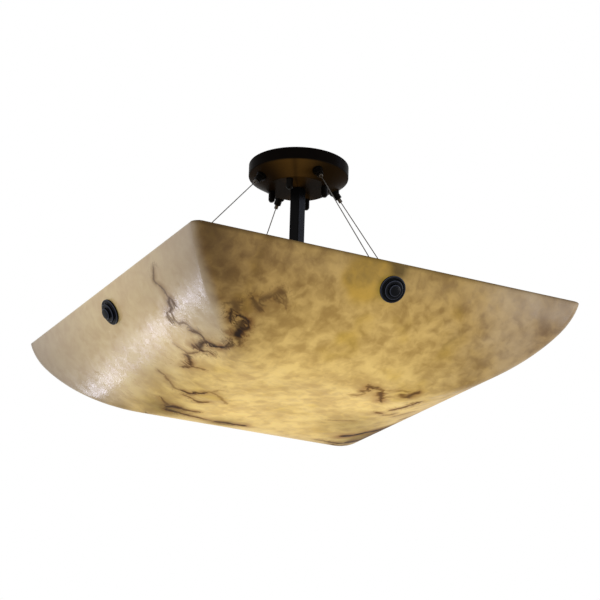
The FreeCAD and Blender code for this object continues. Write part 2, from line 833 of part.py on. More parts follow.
def bowl_section(inset, lift):
    """The whole section, from rim to rim, and lift above the rim where there is one."""
    rim_out, rim_level = shoulder_point("sizes.rim_lean", inset)
    turn_out, turn_level = shoulder_point("layout.turn_lean", inset)
    foot_out = f"({turn_out} - (sizes.belly_radius - {inset}) * cos(layout.turn_lean))"
    foot_level = f"({RIM} - sizes.bowl_depth + {inset})"
    shoulder = f"(sizes.shoulder_radius - {inset})"
    belly = f"(sizes.belly_radius - {inset})"
    top_out = f"({rim_out} + {lift} * sin(sizes.rim_lean))"
    top_level = f"({rim_level} + {lift} * cos(sizes.rim_lean))"
    points = [
        (f"-{rim_out}", rim_level),
        (f"-{turn_out}", turn_level, shoulder),
        (f"-{foot_out}", foot_level, belly),
        (foot_out, foot_level),
        (turn_out, turn_level, belly),
        (rim_out, rim_level, shoulder),
    ]
    if lift:
        points += [(top_out, top_level), (f"-{top_out}", top_level)]
    return points


def bowl_form(label, inset, lift, ridge):
    body = doc.addObject("PartDesign::Body", label)
    section = bowl_section(inset, lift)
    side = sketch_on(body, "XZ_Plane", [section])
    trough = body.newObject("PartDesign::Pad", f"{label}_trough")
    trough.Profile = side
    trough.SideType = "Symmetric"
    trough.setExpression("Length", "2 * sizes.bowl_width")
    frame_half = "(2 * sizes.bowl_width)"
    frame = [
        (f"-{frame_half}", f"{RIM} - 2 * sizes.bowl_depth"),
        (frame_half, f"{RIM} - 2 * sizes.bowl_depth"),
        (frame_half, f"{RIM} + sizes.bowl_depth"),
        (f"-{frame_half}", f"{RIM} + sizes.bowl_depth"),
    ]
    front = sketch_on(body, "YZ_Plane", [frame, section])
    trim = body.newObject("PartDesign::Pocket", f"{label}_trim")
    trim.Profile = front
    trim.SideType = "Symmetric"
    trim.setExpression("Length", "2 * sizes.bowl_width")
    doc.recompute()
    ridges = []
    for number, edge in enumerate(trim.Shape.Edges, start=1):
        centre = edge.CenterOfMass
        on_diagonal = abs(abs(centre.x) - abs(centre.y)) < 0.01
        if on_diagonal and edge.BoundBox.ZLength > 0.01:
            ridges.append(f"Edge{number}")
    fillet = body.newObject("PartDesign::Fillet", f"{label}_ridges")
    fillet.Base = (trim, ridges)
    fillet.setExpression("Radius", ridge)
    return body


bowl_outside = bowl_form("bowl_outside", "0", None, "sizes.ridge_radius")
bowl_inside = bowl_form(
    "bowl_inside",
    "sizes.bowl_wall",
    "sizes.bowl_overcut",
    "sizes.ridge_radius - sizes.bowl_wall",
)
bowl_shell = boolean("Cut", "bowl_shell", bowl_outside, bowl_inside)
bolt_drill = turned(
    "bolt_drill",
    tube("sizes.bolt_hole_width / 2", "0", "-3 * sizes.bowl_wall", "3 * sizes.bowl_wall"),
    "finial",
)
bolt_holes = around("bolt_holes", bolt_drill, QUARTERS)
keep("bowl", boolean("Cut", "bowl_cut", bowl_shell, bolt_holes))


# ---- finials and cable anchors through the bowl's wall --------------------------------
# On the finial's axis 0 is the outside of the wall and minus is inwards. The gaskets are
# moulded to the curve of the wall.

BOLT = "sizes.bolt_width / 2"
BOLT_THREAD = f"({BOLT} + sizes.thread_gap)"
BOLT_HOLE = "sizes.bolt_hole_width / 2"
GASKET = "sizes.gasket_gauge"
INNER_GASKET_FACE = f"(-sizes.bowl_wall - {GASKET})"
INNER_WASHER_FACE = f"({INNER_GASKET_FACE} - sizes.washer_gauge)"
STEP = "sizes.finial_step_height"
EDGE = "sizes.finial_edge"
BOLT_TIP = f"({GASKET} + 1.5 * {STEP})"


def finial_step(width, top):
    """The wall of one step with its bevelled shoulder, ending at height top."""
    radius = f"{width} / 2"
    return [(radius, f"{top} - {EDGE}"), (f"{radius} - {EDGE}", top)]


finial = turned(
    "finial",
    [
        (BOLT_THREAD, GASKET),
        ("sizes.finial_width / 2", GASKET),
        *finial_step("sizes.finial_width", f"{GASKET} + {STEP}"),
        ("sizes.finial_step_width / 2", f"{GASKET} + {STEP}"),
        *finial_step("sizes.finial_step_width", f"{GASKET} + 2 * {STEP}"),
        ("sizes.finial_button_width / 2", f"{GASKET} + 2 * {STEP}"),
        *finial_step("sizes.finial_button_width", f"{GASKET} + 3 * {STEP}"),
        ("0", f"{GASKET} + 3 * {STEP} + sizes.finial_crown"),
        ("0", f"{BOLT_TIP} + 1.5 * sizes.bevel"),
        (BOLT_THREAD, f"{BOLT_TIP} + sizes.seat_gap"),
    ],
    "finial",
)
finial_bolt = turned(
    "finial_bolt",
    tube(BOLT, "0", f"{INNER_WASHER_FACE} - sizes.bolt_engaged", BOLT_TIP),
    "finial",
)
outer_pad = turned(
    "outer_pad",
    tube("sizes.gasket_width / 2", BOLT_HOLE, "-sizes.bowl_wall / 2", GASKET),
    "finial",
)
inner_pad = turned(
    "inner_pad",
    tube("sizes.inner_washer_width / 2", BOLT_HOLE, INNER_GASKET_FACE, "-sizes.bowl_wall / 2"),
    "finial",
)
inner_washer = turned(
    "inner_washer",
    tube(
        "sizes.inner_washer_width / 2",
        f"{BOLT} + sizes.hole_gap",
        INNER_WASHER_FACE,
        INNER_GASKET_FACE,
    ),
    "finial",
)

ANCHOR = "sizes.anchor_width / 2"
ANCHOR_MOUTH = f"({INNER_WASHER_FACE} - sizes.anchor_length)"
BALL = "sizes.ball_width / 2"
THROAT = "sizes.anchor_throat_width / 2"
THROAT_LEVEL = f"(-sizes.ball_depth - sqrt(({BALL}) ^ 2 - ({THROAT}) ^ 2))"
CHAMBER = f"({BALL} + sizes.seat_gap)"
cable_anchor = turned(
    "cable_anchor",
    [
        ("sizes.anchor_mouth_width / 2", ANCHOR_MOUTH),
        (f"{ANCHOR} - sizes.bevel", ANCHOR_MOUTH),
        (ANCHOR, f"{ANCHOR_MOUTH} + sizes.bevel"),
        (ANCHOR, INNER_WASHER_FACE),
        (BOLT_THREAD, INNER_WASHER_FACE),
        (BOLT_THREAD, f"{INNER_WASHER_FACE} - sizes.anchor_tap_depth"),
        (CHAMBER, f"{INNER_WASHER_FACE} - sizes.anchor_tap_depth - sizes.bevel / 2"),
        (CHAMBER, f"{THROAT_LEVEL} + sizes.bevel"),
        (THROAT, THROAT_LEVEL),
    ],
    "finial",
)
outer_gaskets = around("outer_pads", outer_pad, QUARTERS)
inner_gaskets = around("inner_pads", inner_pad, QUARTERS)
keep("side_finials", around("side_finials", finial, QUARTERS))
keep("finial_bolts", around("finial_bolts", finial_bolt, QUARTERS))
keep("outer_gaskets", boolean("Cut", "outer_gaskets_cut", outer_gaskets, bowl_outside))
keep("inner_gaskets", boolean("Common", "inner_gaskets_cut", inner_gaskets, bowl_inside))
keep("inner_washers", around("inner_washers", inner_washer, QUARTERS))
keep("cable_anchors", around("cable_anchors", cable_anchor, QUARTERS))


# ---- cables and grippers --------------------------------------------------------------
# On the cable's axis 0 is the outside of the canopy's cone and plus runs down the cable.

CABLE = "sizes.cable_width / 2"
CABLE_BORE = f"({CABLE} + sizes.cable_gap)"
BALL_BORE = f"({CABLE} + sizes.thread_gap / 2)"
SEAT_TOP = "sizes.grip_seat_rise"
INNER_SEAT_TOP = "-sizes.grip_inner_rise"
FLANGE_TOP = f"({SEAT_TOP} + sizes.grip_flange_gauge)"
BARREL = "sizes.grip_barrel_width / 2"
BARREL_END = "sizes.grip_barrel_end"
RELEASE = "sizes.release_width / 2"
RELEASE_BORE = f"({RELEASE} + sizes.slide_gap)"
RELEASE_ROOT = f"({BARREL_END} - sizes.release_engaged)"
RELEASE_TIP = f"({BARREL_END} + sizes.release_reach)"
BORE_FLOOR = f"({RELEASE_ROOT} - sizes.release_travel - sizes.bevel / 2)"

cable = turned(
    "cable", tube(CABLE, "0", "-sizes.cable_tail", f"layout.cable_run + {BALL}"), "grip"
)


def ball_point(lean):
    """A point of the swaged ball, that many degrees past its middle."""
    return f"{BALL} * cos({lean})", f"layout.cable_run + {BALL} * sin({lean})"


# the ball is turned as two cones and a short belt, inside its round
cable_ball = turned(
    "cable_ball",
    [
        (BALL_BORE, f"layout.cable_run - {BALL} * sin(sizes.ball_end_lean)"),
        ball_point("-sizes.ball_end_lean"),
        ball_point("-sizes.ball_belt_lean"),
        ball_point("sizes.ball_belt_lean"),
        ball_point("sizes.ball_end_lean"),
        (BALL_BORE, f"layout.cable_run + {BALL} * sin(sizes.ball_end_lean)"),
    ],
    "grip",
)
barrel = turned(
    "barrel",
    [
        (CABLE_BORE, "-sizes.grip_shank_length"),
        (f"{SHANK} - sizes.bevel", "-sizes.grip_shank_length"),
        (SHANK, "-sizes.grip_shank_length + sizes.bevel"),
        (SHANK, SEAT_TOP),
        ("sizes.grip_flange_width / 2", SEAT_TOP),
        ("sizes.grip_flange_width / 2", FLANGE_TOP),
        (BARREL, FLANGE_TOP),
        (BARREL, f"{BARREL_END} - sizes.bevel"),
        (f"{BARREL} - sizes.bevel", BARREL_END),
        (RELEASE_BORE, BARREL_END),
        (RELEASE_BORE, BORE_FLOOR),
        (CABLE_BORE, BORE_FLOOR),
    ],
    "grip",
)
release = turned(
    "release",
    [
        (CABLE_BORE, RELEASE_ROOT),
        (RELEASE, RELEASE_ROOT),
        (RELEASE, f"{RELEASE_TIP} - sizes.bevel"),
        (f"{RELEASE} - sizes.bevel", RELEASE_TIP),
        (CABLE_BORE, RELEASE_TIP),
    ],
    "grip",
)
SEAT = "sizes.grip_seat_width / 2"
outer_seat = turned("outer_seat", tube(SEAT, SHANK_HOLE, f"-{SEAT}", SEAT_TOP), "grip")
inner_seat = turned("inner_seat", tube(SEAT, SHANK_HOLE, INNER_SEAT_TOP, SEAT_TOP), "grip")
grip_nut = padded(
    "grip_nut",
    [hexagon("sizes.grip_nut_flats"), SHANK_THREAD],
    f"{INNER_SEAT_TOP} - sizes.grip_nut_height",
    "sizes.grip_nut_height",
    "grip",
)
outer_seats = around("outer_seats", outer_seat, QUARTERS)
inner_seats = around("inner_seats", inner_seat, QUARTERS)
keep("gripper_seats", boolean("Cut", "gripper_seats_cut", outer_seats, canopy_outside))
keep("gripper_washers", boolean("Common", "gripper_washers_cut", inner_seats, canopy_inside))
keep("gripper_nuts", around("gripper_nuts", grip_nut, QUARTERS))
keep("gripper_barrels", around("gripper_barrels", barrel, QUARTERS))
keep("cable_ball_ends", around("cable_ball_ends", cable_ball, QUARTERS))
for side, turn in SIDES.items():
    keep(f"cable_{side}", around(f"cable_{side}", cable, [turn]))
    keep(f"release_{side}", around(f"release_{side}", release, [turn]))


# ---- write ----------------------------------------------------------------------------

doc.recompute()
faults = []
for item in doc.Objects:
    if "Invalid" in item.State or "Error" in item.State:
        faults.append(f"{item.Label}: {item.State}")
for piece in nodes:
    shape = piece.Shape
    if shape.isNull() or not shape.isValid() or not shape.Solids:
        faults.append(f"{piece.Label}: no valid solid")
if faults:
    raise SystemExit("\n".join(faults))

os.makedirs("parts", exist_ok=True)
for piece in nodes:
    piece.Shape.exportStep(f"parts/{piece.Label}.step")
    print(f"{piece.Label}: {len(piece.Shape.Solids)} solid(s), {piece.Shape.Volume:.0f} mm3")
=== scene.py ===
"""Semi flush ceiling light with a square resin bowl, in metres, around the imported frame.

Origin: centre of the canopy's ceiling face. +Z up, and the bowl's sides face along X and Y.
"""

import math

import bmesh
import bpy
import numpy as np
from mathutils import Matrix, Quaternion, Vector
from mathutils.bvhtree import BVHTree


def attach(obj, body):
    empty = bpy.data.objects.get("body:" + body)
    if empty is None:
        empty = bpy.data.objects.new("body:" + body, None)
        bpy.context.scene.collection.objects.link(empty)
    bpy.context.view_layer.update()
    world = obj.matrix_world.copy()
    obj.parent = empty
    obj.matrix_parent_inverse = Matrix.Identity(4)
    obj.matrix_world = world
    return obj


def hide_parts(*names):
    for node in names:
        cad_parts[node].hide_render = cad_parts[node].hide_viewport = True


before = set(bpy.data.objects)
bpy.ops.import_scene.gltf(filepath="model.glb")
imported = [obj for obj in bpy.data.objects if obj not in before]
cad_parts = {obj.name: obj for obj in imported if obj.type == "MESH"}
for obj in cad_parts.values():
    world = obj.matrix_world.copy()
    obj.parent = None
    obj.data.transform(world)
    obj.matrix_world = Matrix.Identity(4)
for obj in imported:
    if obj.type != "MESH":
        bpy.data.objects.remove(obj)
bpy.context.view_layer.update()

# ---- mounting plate, studs and hidden hardware ----------------------------------------
# Plate, studs, nuts, pipes and washers are stock steel parts, zinc plated and passivated
# to a pale grey with a faint yellow cast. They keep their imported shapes.

MM = 0.001


def colour(code):
    """A linear, opaque colour from an sRGB hex code."""
    levels = np.array([int(code[k : k + 2], 16) / 255 for k in (1, 3, 5)])
    linear = np.where(levels <= 0.04045, levels / 12.92, ((levels + 0.055) / 1.055) ** 2.4)
    return (*linear.tolist(), 1.0)


def add(tree, kind, inputs, out=0, **settings):
    """One shader node, whose inputs take values or other nodes' outputs, and one of its outputs."""
    node = tree.nodes.new("ShaderNode" + kind)
    for key, value in settings.items():
        setattr(node, key, value)
    for socket, value in inputs.items():
        if isinstance(value, bpy.types.NodeSocket):
            tree.links.new(value, node.inputs[socket])
        else:
            node.inputs[socket].default_value = value
    return node.outputs[out]


def opened(material):
    """A material's node tree and its Principled shader."""
    return material.node_tree, material.node_tree.nodes["Principled BSDF"]


def blank(name, **values):
    """A new material, with the given values on its shader's own sockets."""
    material = bpy.data.materials.new(name)
    material.use_nodes = True
    _, shader = opened(material)
    for key, value in values.items():
        shader.inputs[key.replace("_", " ")].default_value = value
    return material


def relief(material, grain_mm, depth_mm):
    """A grain raised on a material: noise of one size, as a bump of one depth."""
    tree, shader = opened(material)
    place = add(tree, "TexCoord", {}, "Object")
    grain = add(tree, "TexNoise", {"Vector": place, "Scale": 1 / (grain_mm * MM), "Detail": 3.0})
    raised = add(tree, "Bump", {"Height": grain, "Distance": depth_mm * MM})
    tree.links.new(raised, shader.inputs["Normal"])


def finish(name, low, high, cloud_mm, grain_mm, depth_mm, **values):
    """A surface finish: two shades clouded together by noise, with a fine grain in relief."""
    material = blank(name, **values)
    tree, shader = opened(material)
    place = add(tree, "TexCoord", {}, "Object")
    cloud = add(tree, "TexNoise", {"Vector": place, "Scale": 1 / (cloud_mm * MM), "Detail": 3.0})
    shade = add(tree, "Mix", {0: cloud, 6: colour(low), 7: colour(high)}, 2, data_type="RGBA")
    tree.links.new(shade, shader.inputs["Base Color"])
    relief(material, grain_mm, depth_mm)
    return material


def keep_node(name, material, angle=28):
    """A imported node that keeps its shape: merged, shaded smooth below the angle, and finished."""
    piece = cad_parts[name]
    piece.data.materials.clear()
    piece.data.materials.append(material)
    piece.data.polygons.foreach_set("use_smooth", np.ones(len(piece.data.polygons), bool))
    weld = piece.modifiers.new("weld", "WELD")
    weld.merge_threshold = 0.002 * MM
    split = piece.modifiers.new("edges", "EDGE_SPLIT")
    split.split_angle = math.radians(angle)


zinc = finish(
    "zinc_plated_steel", "#a9aaa6", "#c3c0b6", 6, 0.6, 0.02, Metallic=1.0, Roughness=0.36
)
for name in (
    "mounting_plate", "canopy_studs", "stud_nuts", "stem_top_plug", "stem_foot_plug", "stem_pipe",
    "stem_washer", "stem_lock_nut", "cluster_rod", "hub_lock_nut", "lampholder_pipes",
    "lampholder_nuts", "finial_bolts", "inner_washers", "gripper_washers", "gripper_nuts",
):
    keep_node(name, zinc)

# The ground screw is steel with a green dyed finish, as the code for ground screws asks.
green = finish(
    "green_dyed_steel", "#1d6b35", "#2f8a4a", 2, 0.5, 0.01, Metallic=0.6, Roughness=0.4
)
keep_node("ground_screw", green)


# ---- canopy ---------------------------------------------------------------------------
# A cup of 1.5 mm sheet steel, spun over a former, so its bends are round, and powder
# coated in a dark bronze that is nearly black. Four cap nuts hold it up to the plate.

CANOPY = {"width": 152.4, "wall": 19.0, "floor": 96.0, "height": 36.6, "gauge": 1.5}
BORE = 5.15


def rounded(corners, steps=5, hold=0.12):
    """A closed outline whose corners are eased by arcs.

    A corner is (x, y, radius). Each arc touches the two runs that meet at its corner, and
    a held point just outside each end keeps the run beyond it flat.
    """
    table = np.array(corners, float)
    points, radius = table[:, :2], table[:, 2]
    back = np.roll(points, 1, axis=0) - points
    ahead = np.roll(points, -1, axis=0) - points
    back /= np.linalg.norm(back, axis=1, keepdims=True)
    ahead /= np.linalg.norm(ahead, axis=1, keepdims=True)
    half = np.arccos(np.clip((back * ahead).sum(1), -1, 1)) / 2
    reach = (radius / np.tan(half))[:, None]
    inward = back + ahead
    inward /= np.maximum(np.linalg.norm(inward, axis=1, keepdims=True), 1e-9)
    centre = points + inward * (radius / np.sin(half))[:, None]
    start, end = points + back * reach - centre, points + ahead * reach - centre
    first = np.arctan2(start[:, 1], start[:, 0])
    sweep = np.arctan2(end[:, 1], end[:, 0]) - first
    sweep = (sweep + np.pi) % (2 * np.pi) - np.pi
    turn = first[:, None] + sweep[:, None] * np.linspace(0, 1, steps)
    arcs = centre[:, None] + radius[:, None, None] * np.stack([np.cos(turn), np.sin(turn)], 2)
    held = hold * (radius > 0)[:, None]
    before, after = points + back * (reach + held), points + ahead * (reach + held)
    return np.concatenate([before[:, None], arcs, after[:, None]], 1).reshape(-1, 2)


def turned(outline, sides=96):
    """A closed outline of (radius, height) points carried round the axis."""
    angle = np.linspace(0, 2 * np.pi, sides, endpoint=False)
    ring = np.stack([np.cos(angle), np.sin(angle)], 1)
    flat = outline[:, None, :1] * ring[None]
    height = np.broadcast_to(outline[:, None, 1:], (len(outline), sides, 1))
    return np.concatenate([flat, height], 2)


def stood(grid, out, level, tilt, turn=0):
    """A grid made about its own axis, tilted about Y, set out along X, and turned about Z."""
    lean, spin = math.radians(tilt), math.radians(turn)
    about_y = np.array(
        [[math.cos(lean), 0, math.sin(lean)], [0, 1, 0], [-math.sin(lean), 0, math.cos(lean)]]
    )
    about_z = np.array(
        [[math.cos(spin), -math.sin(spin), 0], [math.sin(spin), math.cos(spin), 0], [0, 0, 1]]
    )
    return (grid @ about_y.T + np.array([out, 0, level])) @ about_z.T


def skin(name, grids, material, body="fixture", angle=32, loop=True):
    """A mesh piece from grids of points in millimetres, each closed along its columns.

    Rows join to the next row, and the last to the first where loop is true. Rings of no
    width become poles.
    """
    vertices, faces, base = [], [], 0
    for grid in grids:
        rows, columns = grid.shape[:2]
        index = base + np.arange(rows * columns).reshape(rows, columns)
        below = np.roll(index, -1, axis=0) if loop else index[1:]
        here = index if loop else index[:-1]
        quads = [here, below, np.roll(below, -1, axis=1), np.roll(here, -1, axis=1)]
        faces.append(np.stack(quads, 2).reshape(-1, 4))
        vertices.append(grid.reshape(-1, 3))
        base += rows * columns
    mesh = bpy.data.meshes.new(name)
    mesh.from_pydata(np.concatenate(vertices) * MM, [], np.concatenate(faces).tolist())
    work = bmesh.new()
    work.from_mesh(mesh)
    bmesh.ops.remove_doubles(work, verts=work.verts, dist=0.002 * MM)
    bmesh.ops.dissolve_degenerate(work, edges=work.edges, dist=0.001 * MM)
    loose = [edge for edge in work.edges if not edge.link_faces]
    bmesh.ops.delete(work, geom=loose, context="EDGES")
    bmesh.ops.recalc_face_normals(work, faces=work.faces)
    for edge in work.edges:
        edge.smooth = len(edge.link_faces) == 2 and edge.calc_face_angle() < math.radians(angle)
    for face in work.faces:
        face.smooth = True
    work.to_mesh(mesh)
    work.free()
    mesh.materials.append(material)
    piece = bpy.data.objects.new(name, mesh)
    bpy.context.scene.collection.objects.link(piece)
    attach(piece, body)
    return piece


def mix_painted_light(material, name, shade):
    """A painted light or shade mixed into a finish, by the share painted on the piece under a name.
    """
    tree, shader = opened(material)
    share = add(tree, "Attribute", {}, "Fac", attribute_name=name)
    whole = shader.inputs["Base Color"].links[0].from_socket
    painted_mix = add(tree, "Mix", {0: share, 6: whole, 7: colour(shade)}, 2, data_type="RGBA")
    tree.links.new(painted_mix, shader.inputs["Base Color"])


# Powder coat is fused to a smooth film: faint clouds of 14 mm, and a grain of half a
# millimetre that only softens its reflections. The spun one has a painted sheen: its cone
# is painted a warm brown, as a painted reflection of the lit bowl.
POWDER = {"cloud_mm": 14, "grain_mm": 0.5, "depth_mm": 0.02}
bronze_coat = finish(
    "dark_bronze_powder_coat",
    "#060505",
    "#0e0b08",
    **POWDER,
    Roughness=0.28,
    Specular_IOR_Level=0.03,
)
spun_coat = finish(
    "spun_bronze_coat_painted_sheen",
    "#080606",
    "#100c09",
    **POWDER,
    Roughness=0.32,
    Specular_IOR_Level=0.006,
)
# Painted sheen: a warm brown painted reflection, mixed in where the cone is painted.
mix_painted_light(spun_coat, "painted_sheen", "#7c5c2c")

gauge, canopy_half, canopy_foot = CANOPY["gauge"], CANOPY["width"] / 2, -CANOPY["height"]
cone_rise, cone_run = CANOPY["height"] - CANOPY["wall"], canopy_half - CANOPY["floor"] / 2
cone_pitch = math.atan2(cone_rise, cone_run)
cone_inner_top = -CANOPY["wall"] + gauge * math.cos(cone_pitch) / (1 + math.sin(cone_pitch))
floor_inner_half = CANOPY["floor"] / 2 - gauge * math.tan(cone_pitch / 2)
canopy_outline = rounded(
    [
        (BORE, canopy_foot, 0),
        (CANOPY["floor"] / 2, canopy_foot, 4.0),
        (canopy_half, -CANOPY["wall"], 3.5),
        (canopy_half, 0, 0.5),
        (canopy_half - gauge, 0, 0.5),
        (canopy_half - gauge, cone_inner_top, 2.0),
        (floor_inner_half, canopy_foot + gauge, 2.5),
        (BORE, canopy_foot + gauge, 0),
    ],
    steps=9,
)
canopy = skin("canopy_spun", [turned(canopy_outline, 192)], spun_coat)
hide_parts("canopy")


def paint(piece, name, values):
    """A number for each vertex, under a name that a material reads."""
    made = piece.data.attributes.new(name, "FLOAT", "POINT")
    made.data.foreach_set("value", values.astype(np.float32))


def vertex_array(piece, field, scale=1.0):
    """The places or normals of a mesh's vertices as an array."""
    flat = np.zeros(len(piece.data.vertices) * 3)
    piece.data.vertices.foreach_get(field, flat)
    return flat.reshape(-1, 3) * scale


def ramp(values, start, end):
    """Nought at the start and before it, one from the end on, and a straight slope between."""
    return np.clip((values - start) / (end - start), 0, 1)


# Painted sheen: the cone is painted brown, as a painted reflection, all round a little and
# most in two fans that face each other, as light fans out on spun metal. A narrow painted
# streak splits the front fan.
SHEEN_FAN = {"turn": -122, "streak": 0.07, "least": 0.15, "fade": 5.0}
canopy_x, canopy_y, canopy_level = vertex_array(canopy, "co", 1 / MM).T
bearing = np.arctan2(canopy_y, canopy_x) - math.radians(SHEEN_FAN["turn"])
streak = 1 - 0.5 * np.exp(-((bearing / SHEEN_FAN["streak"]) ** 2))
fan = np.clip(np.cos(2 * bearing), 0, 1) ** 2 * streak
cone_top, cone_foot = 1 - CANOPY["wall"], canopy_foot - 0.9
on_cone = ramp(canopy_level, cone_top, cone_top - SHEEN_FAN["fade"])
on_cone *= ramp(canopy_level, cone_foot, cone_foot + SHEEN_FAN["fade"])
paint(canopy, "painted_sheen", on_cone * (SHEEN_FAN["least"] + (1 - SHEEN_FAN["least"]) * fan))

# Round tapered blind nuts on the four studs, turned and coated as the canopy is, each on
# a flat washer.

DIAGONALS = (45, 135, 225, 315)
QUARTERS = (0, 90, 180, 270)
STUD_OUT, WASHER = 42.0, 1.2
washer_foot = canopy_foot - WASHER


def around(outline, sides, place, turns):
    """The turned form of an outline, stood at one place and repeated at each turn."""
    return [stood(turned(outline, sides), *place, turn) for turn in turns]


cap_nut_outline = rounded(
    [
        (2.1, washer_foot, 0),
        (5.0, washer_foot, 0.5),
        (5.0, washer_foot - 13.0, 1.6),
        (3.0, washer_foot - 16.0, 1.2),
        (0.0, washer_foot - 16.0, 0),
        (0.0, washer_foot - 11.0, 0),
        (2.1, washer_foot - 10.0, 0),
    ]
)
cap_nuts = skin(
    "cap_nuts_turned",
    around(cap_nut_outline, 48, (STUD_OUT, 0, 0), DIAGONALS),
    bronze_coat,
)
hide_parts("canopy_cap_nuts")
keep_node("cap_nut_washers", bronze_coat)


# ---- stem -----------------------------------------------------------------------------
# A 17 mm square tube of drawn steel with small round edges, powder coated black. It hangs
# from the canopy's floor by a threaded pipe and stands 25 degrees off square.

STEM = {"side": 17.0, "wall": 1.6, "edge": 1.4, "turn": 25, "foot": -297.0}


def prism(corners, levels):
    """A rounded outline in the plane, carried along the axis through the levels."""
    outline = rounded(corners)
    rows = np.broadcast_to(outline[None], (len(levels), *outline.shape))
    heights = np.broadcast_to(np.array(levels)[:, None, None], (*rows.shape[:2], 1))
    return np.concatenate([rows, heights], 2)


def square_corners(side, radius):
    """The corners of a square, each with the same radius."""
    signs = ((1, -1), (1, 1), (-1, 1), (-1, -1))
    return [(across * side / 2, along * side / 2, radius) for across, along in signs]


stem_coat = finish(
    "black_powder_coat", "#060607", "#0b0b0c", **POWDER, Roughness=0.3, Specular_IOR_Level=0.03
)
# A level just inside each cut end keeps the end's edge sharp.
stem_levels = [canopy_foot, canopy_foot - 0.2, STEM["foot"] + 0.2, STEM["foot"]]
stem_outer = prism(square_corners(STEM["side"], STEM["edge"]), stem_levels)
stem_inner = prism(square_corners(STEM["side"] - 2 * STEM["wall"], 0.4), stem_levels[::-1])
stem = skin(
    "stem_square",
    [stood(np.concatenate([stem_outer, stem_inner]), 0, 0, 0, STEM["turn"])],
    stem_coat,
    angle=50,
)
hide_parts("stem")


# ---- lamp cluster ---------------------------------------------------------------------
# A turned steel drum on the stem's foot, with a lid and an acorn nut. Four porcelain
# holders stand out of it, each with a rolled brass screw shell and a contact strip.

LAMP_LEVEL = -312.0
HUB = {"width": 56.0, "height": 30.0, "wall": 2.0}
hub_top, hub_foot = LAMP_LEVEL + HUB["height"] / 2, LAMP_LEVEL - HUB["height"] / 2
lid_foot = hub_foot - HUB["wall"]
hub_half = HUB["width"] / 2
lip_half = hub_half - HUB["wall"] - 0.3
hub_outline = rounded(
    [
        (BORE, hub_top, 0),
        (hub_half, hub_top, 2.4),
        (hub_half, hub_foot, 0.3),
        (hub_half - HUB["wall"], hub_foot, 0.3),
        (hub_half - HUB["wall"], hub_top - HUB["wall"], 0.8),
        (BORE, hub_top - HUB["wall"], 0),
    ]
)
hub = skin("lamp_hub_drum", [turned(hub_outline)], stem_coat)
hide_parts("lamp_hub")

lid_outline = rounded(
    [
        (BORE, lid_foot, 0),
        (hub_half, lid_foot, 1.2),
        (hub_half, hub_foot, 0.3),
        (lip_half, hub_foot, 0),
        (lip_half, hub_foot + 2.0, 0.3),
        (hub_half - 4.0, hub_foot + 2.0, 0.3),
        (hub_half - 4.0, hub_foot, 0),
        (BORE, hub_foot, 0),
    ]
)
lid = skin("hub_lid_turned", [turned(lid_outline)], stem_coat)
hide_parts("hub_lid")

acorn_outline = rounded(
    [
        (5.0, lid_foot, 0),
        (8.5, lid_foot, 0.5),
        (8.5, lid_foot - 4.0, 0.8),
        (5.2, lid_foot - 12.5, 3.0),
        (0.0, lid_foot - 12.5, 0),
        (0.0, lid_foot - 11.0, 0),
        (5.0, lid_foot - 9.3, 0),
    ]
)
acorn = skin("acorn_nut_turned", [turned(acorn_outline, 64)], stem_coat)
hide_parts("hub_acorn_nut")

holder_back = hub_half + 0.3
holder_end = holder_back + 38.0
holder_floor = holder_back + 7.0
# Ivory porcelain under a clear, wet-looking glaze that rounds every edge.
porcelain = finish(
    "glazed_porcelain",
    "#e9e4d8",
    "#f4f1e8",
    9,
    7,
    0.08,
    Roughness=0.14,
    Coat_Weight=0.4,
    Coat_Roughness=0.05,
)
holder_outline = rounded(
    [
        (5.0, holder_back, 0),
        (11.0, holder_back, 1.5),
        (17.5, holder_back + 6.0, 3.0),
        (17.5, holder_end, 1.0),
        (14.2, holder_end, 0.5),
        (14.2, holder_floor, 0.3),
        (5.0, holder_floor, 0),
    ]
)
holders = skin(
    "lampholders_glazed",
    around(holder_outline, 72, (0, LAMP_LEVEL, 90), DIAGONALS),
    porcelain,
)
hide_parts("lampholders")

# Brass strip, rolled bright: a warm yellow metal with a soft sheen.
brass = finish(
    "rolled_brass", "#b98f4b", "#d9b56a", 5, 0.8, 0.01, Metallic=1.0, Roughness=0.28
)
keep_node("screw_shells", brass)
keep_node("centre_contacts", brass)


# ---- lamps ----------------------------------------------------------------------------
# Four pear-shaped lamps with rolled aluminium screw caps. The glass is etched inside, so
# it scatters the light: a warm white that glows evenly and turns amber towards the cap.

CAP = {"start": 39.3, "length": 25.0, "half": 13.1, "thread": 3.63, "groove": 0.9, "mouth": 12.5}
BULB = {"half": 30.0, "neck": 13.7, "length": 108.0, "glass": 1.0, "seat": 12.4, "sunk": 9.0}
CORNERS = {"back_right": 45, "back_left": 135, "front_left": 225, "front_right": 315}

aluminium = finish(
    "rolled_aluminium", "#a8a9ab", "#cfd0d1", 3, 0.8, 0.01, Metallic=1.0, Roughness=0.3
)
frosted = finish(
    "etched_bulb_glass", "#efe5d2", "#f6eedf", 4, 0.4, 0.01, Roughness=0.32, Emission_Strength=0.8
)
frosted_tree, frosted_shader = opened(frosted)
along = add(frosted_tree, "Attribute", {}, "Fac", attribute_name="along")
near_cap = add(frosted_tree, "MapRange", {"Value": along, "From Max": 0.4})
glows = {0: near_cap, 6: colour("#7a4a1e"), 7: colour("#ffe9bd")}
warm = add(frosted_tree, "Mix", glows, 2, data_type="RGBA")
frosted_tree.links.new(warm, frosted_shader.inputs["Emission Color"])

cap_rim = CAP["start"] + CAP["length"]
bulb_centre = CAP["start"] - 1 + BULB["length"] - BULB["half"]
flare_start = cap_rim + 2.0
flare_reach = bulb_centre - flare_start
flare_radius = (BULB["neck"] ** 2 + flare_reach**2 - BULB["half"] ** 2) / (
    2 * (BULB["half"] - BULB["neck"])
)
flare_sweep = math.asin(flare_reach / (BULB["half"] + flare_radius))


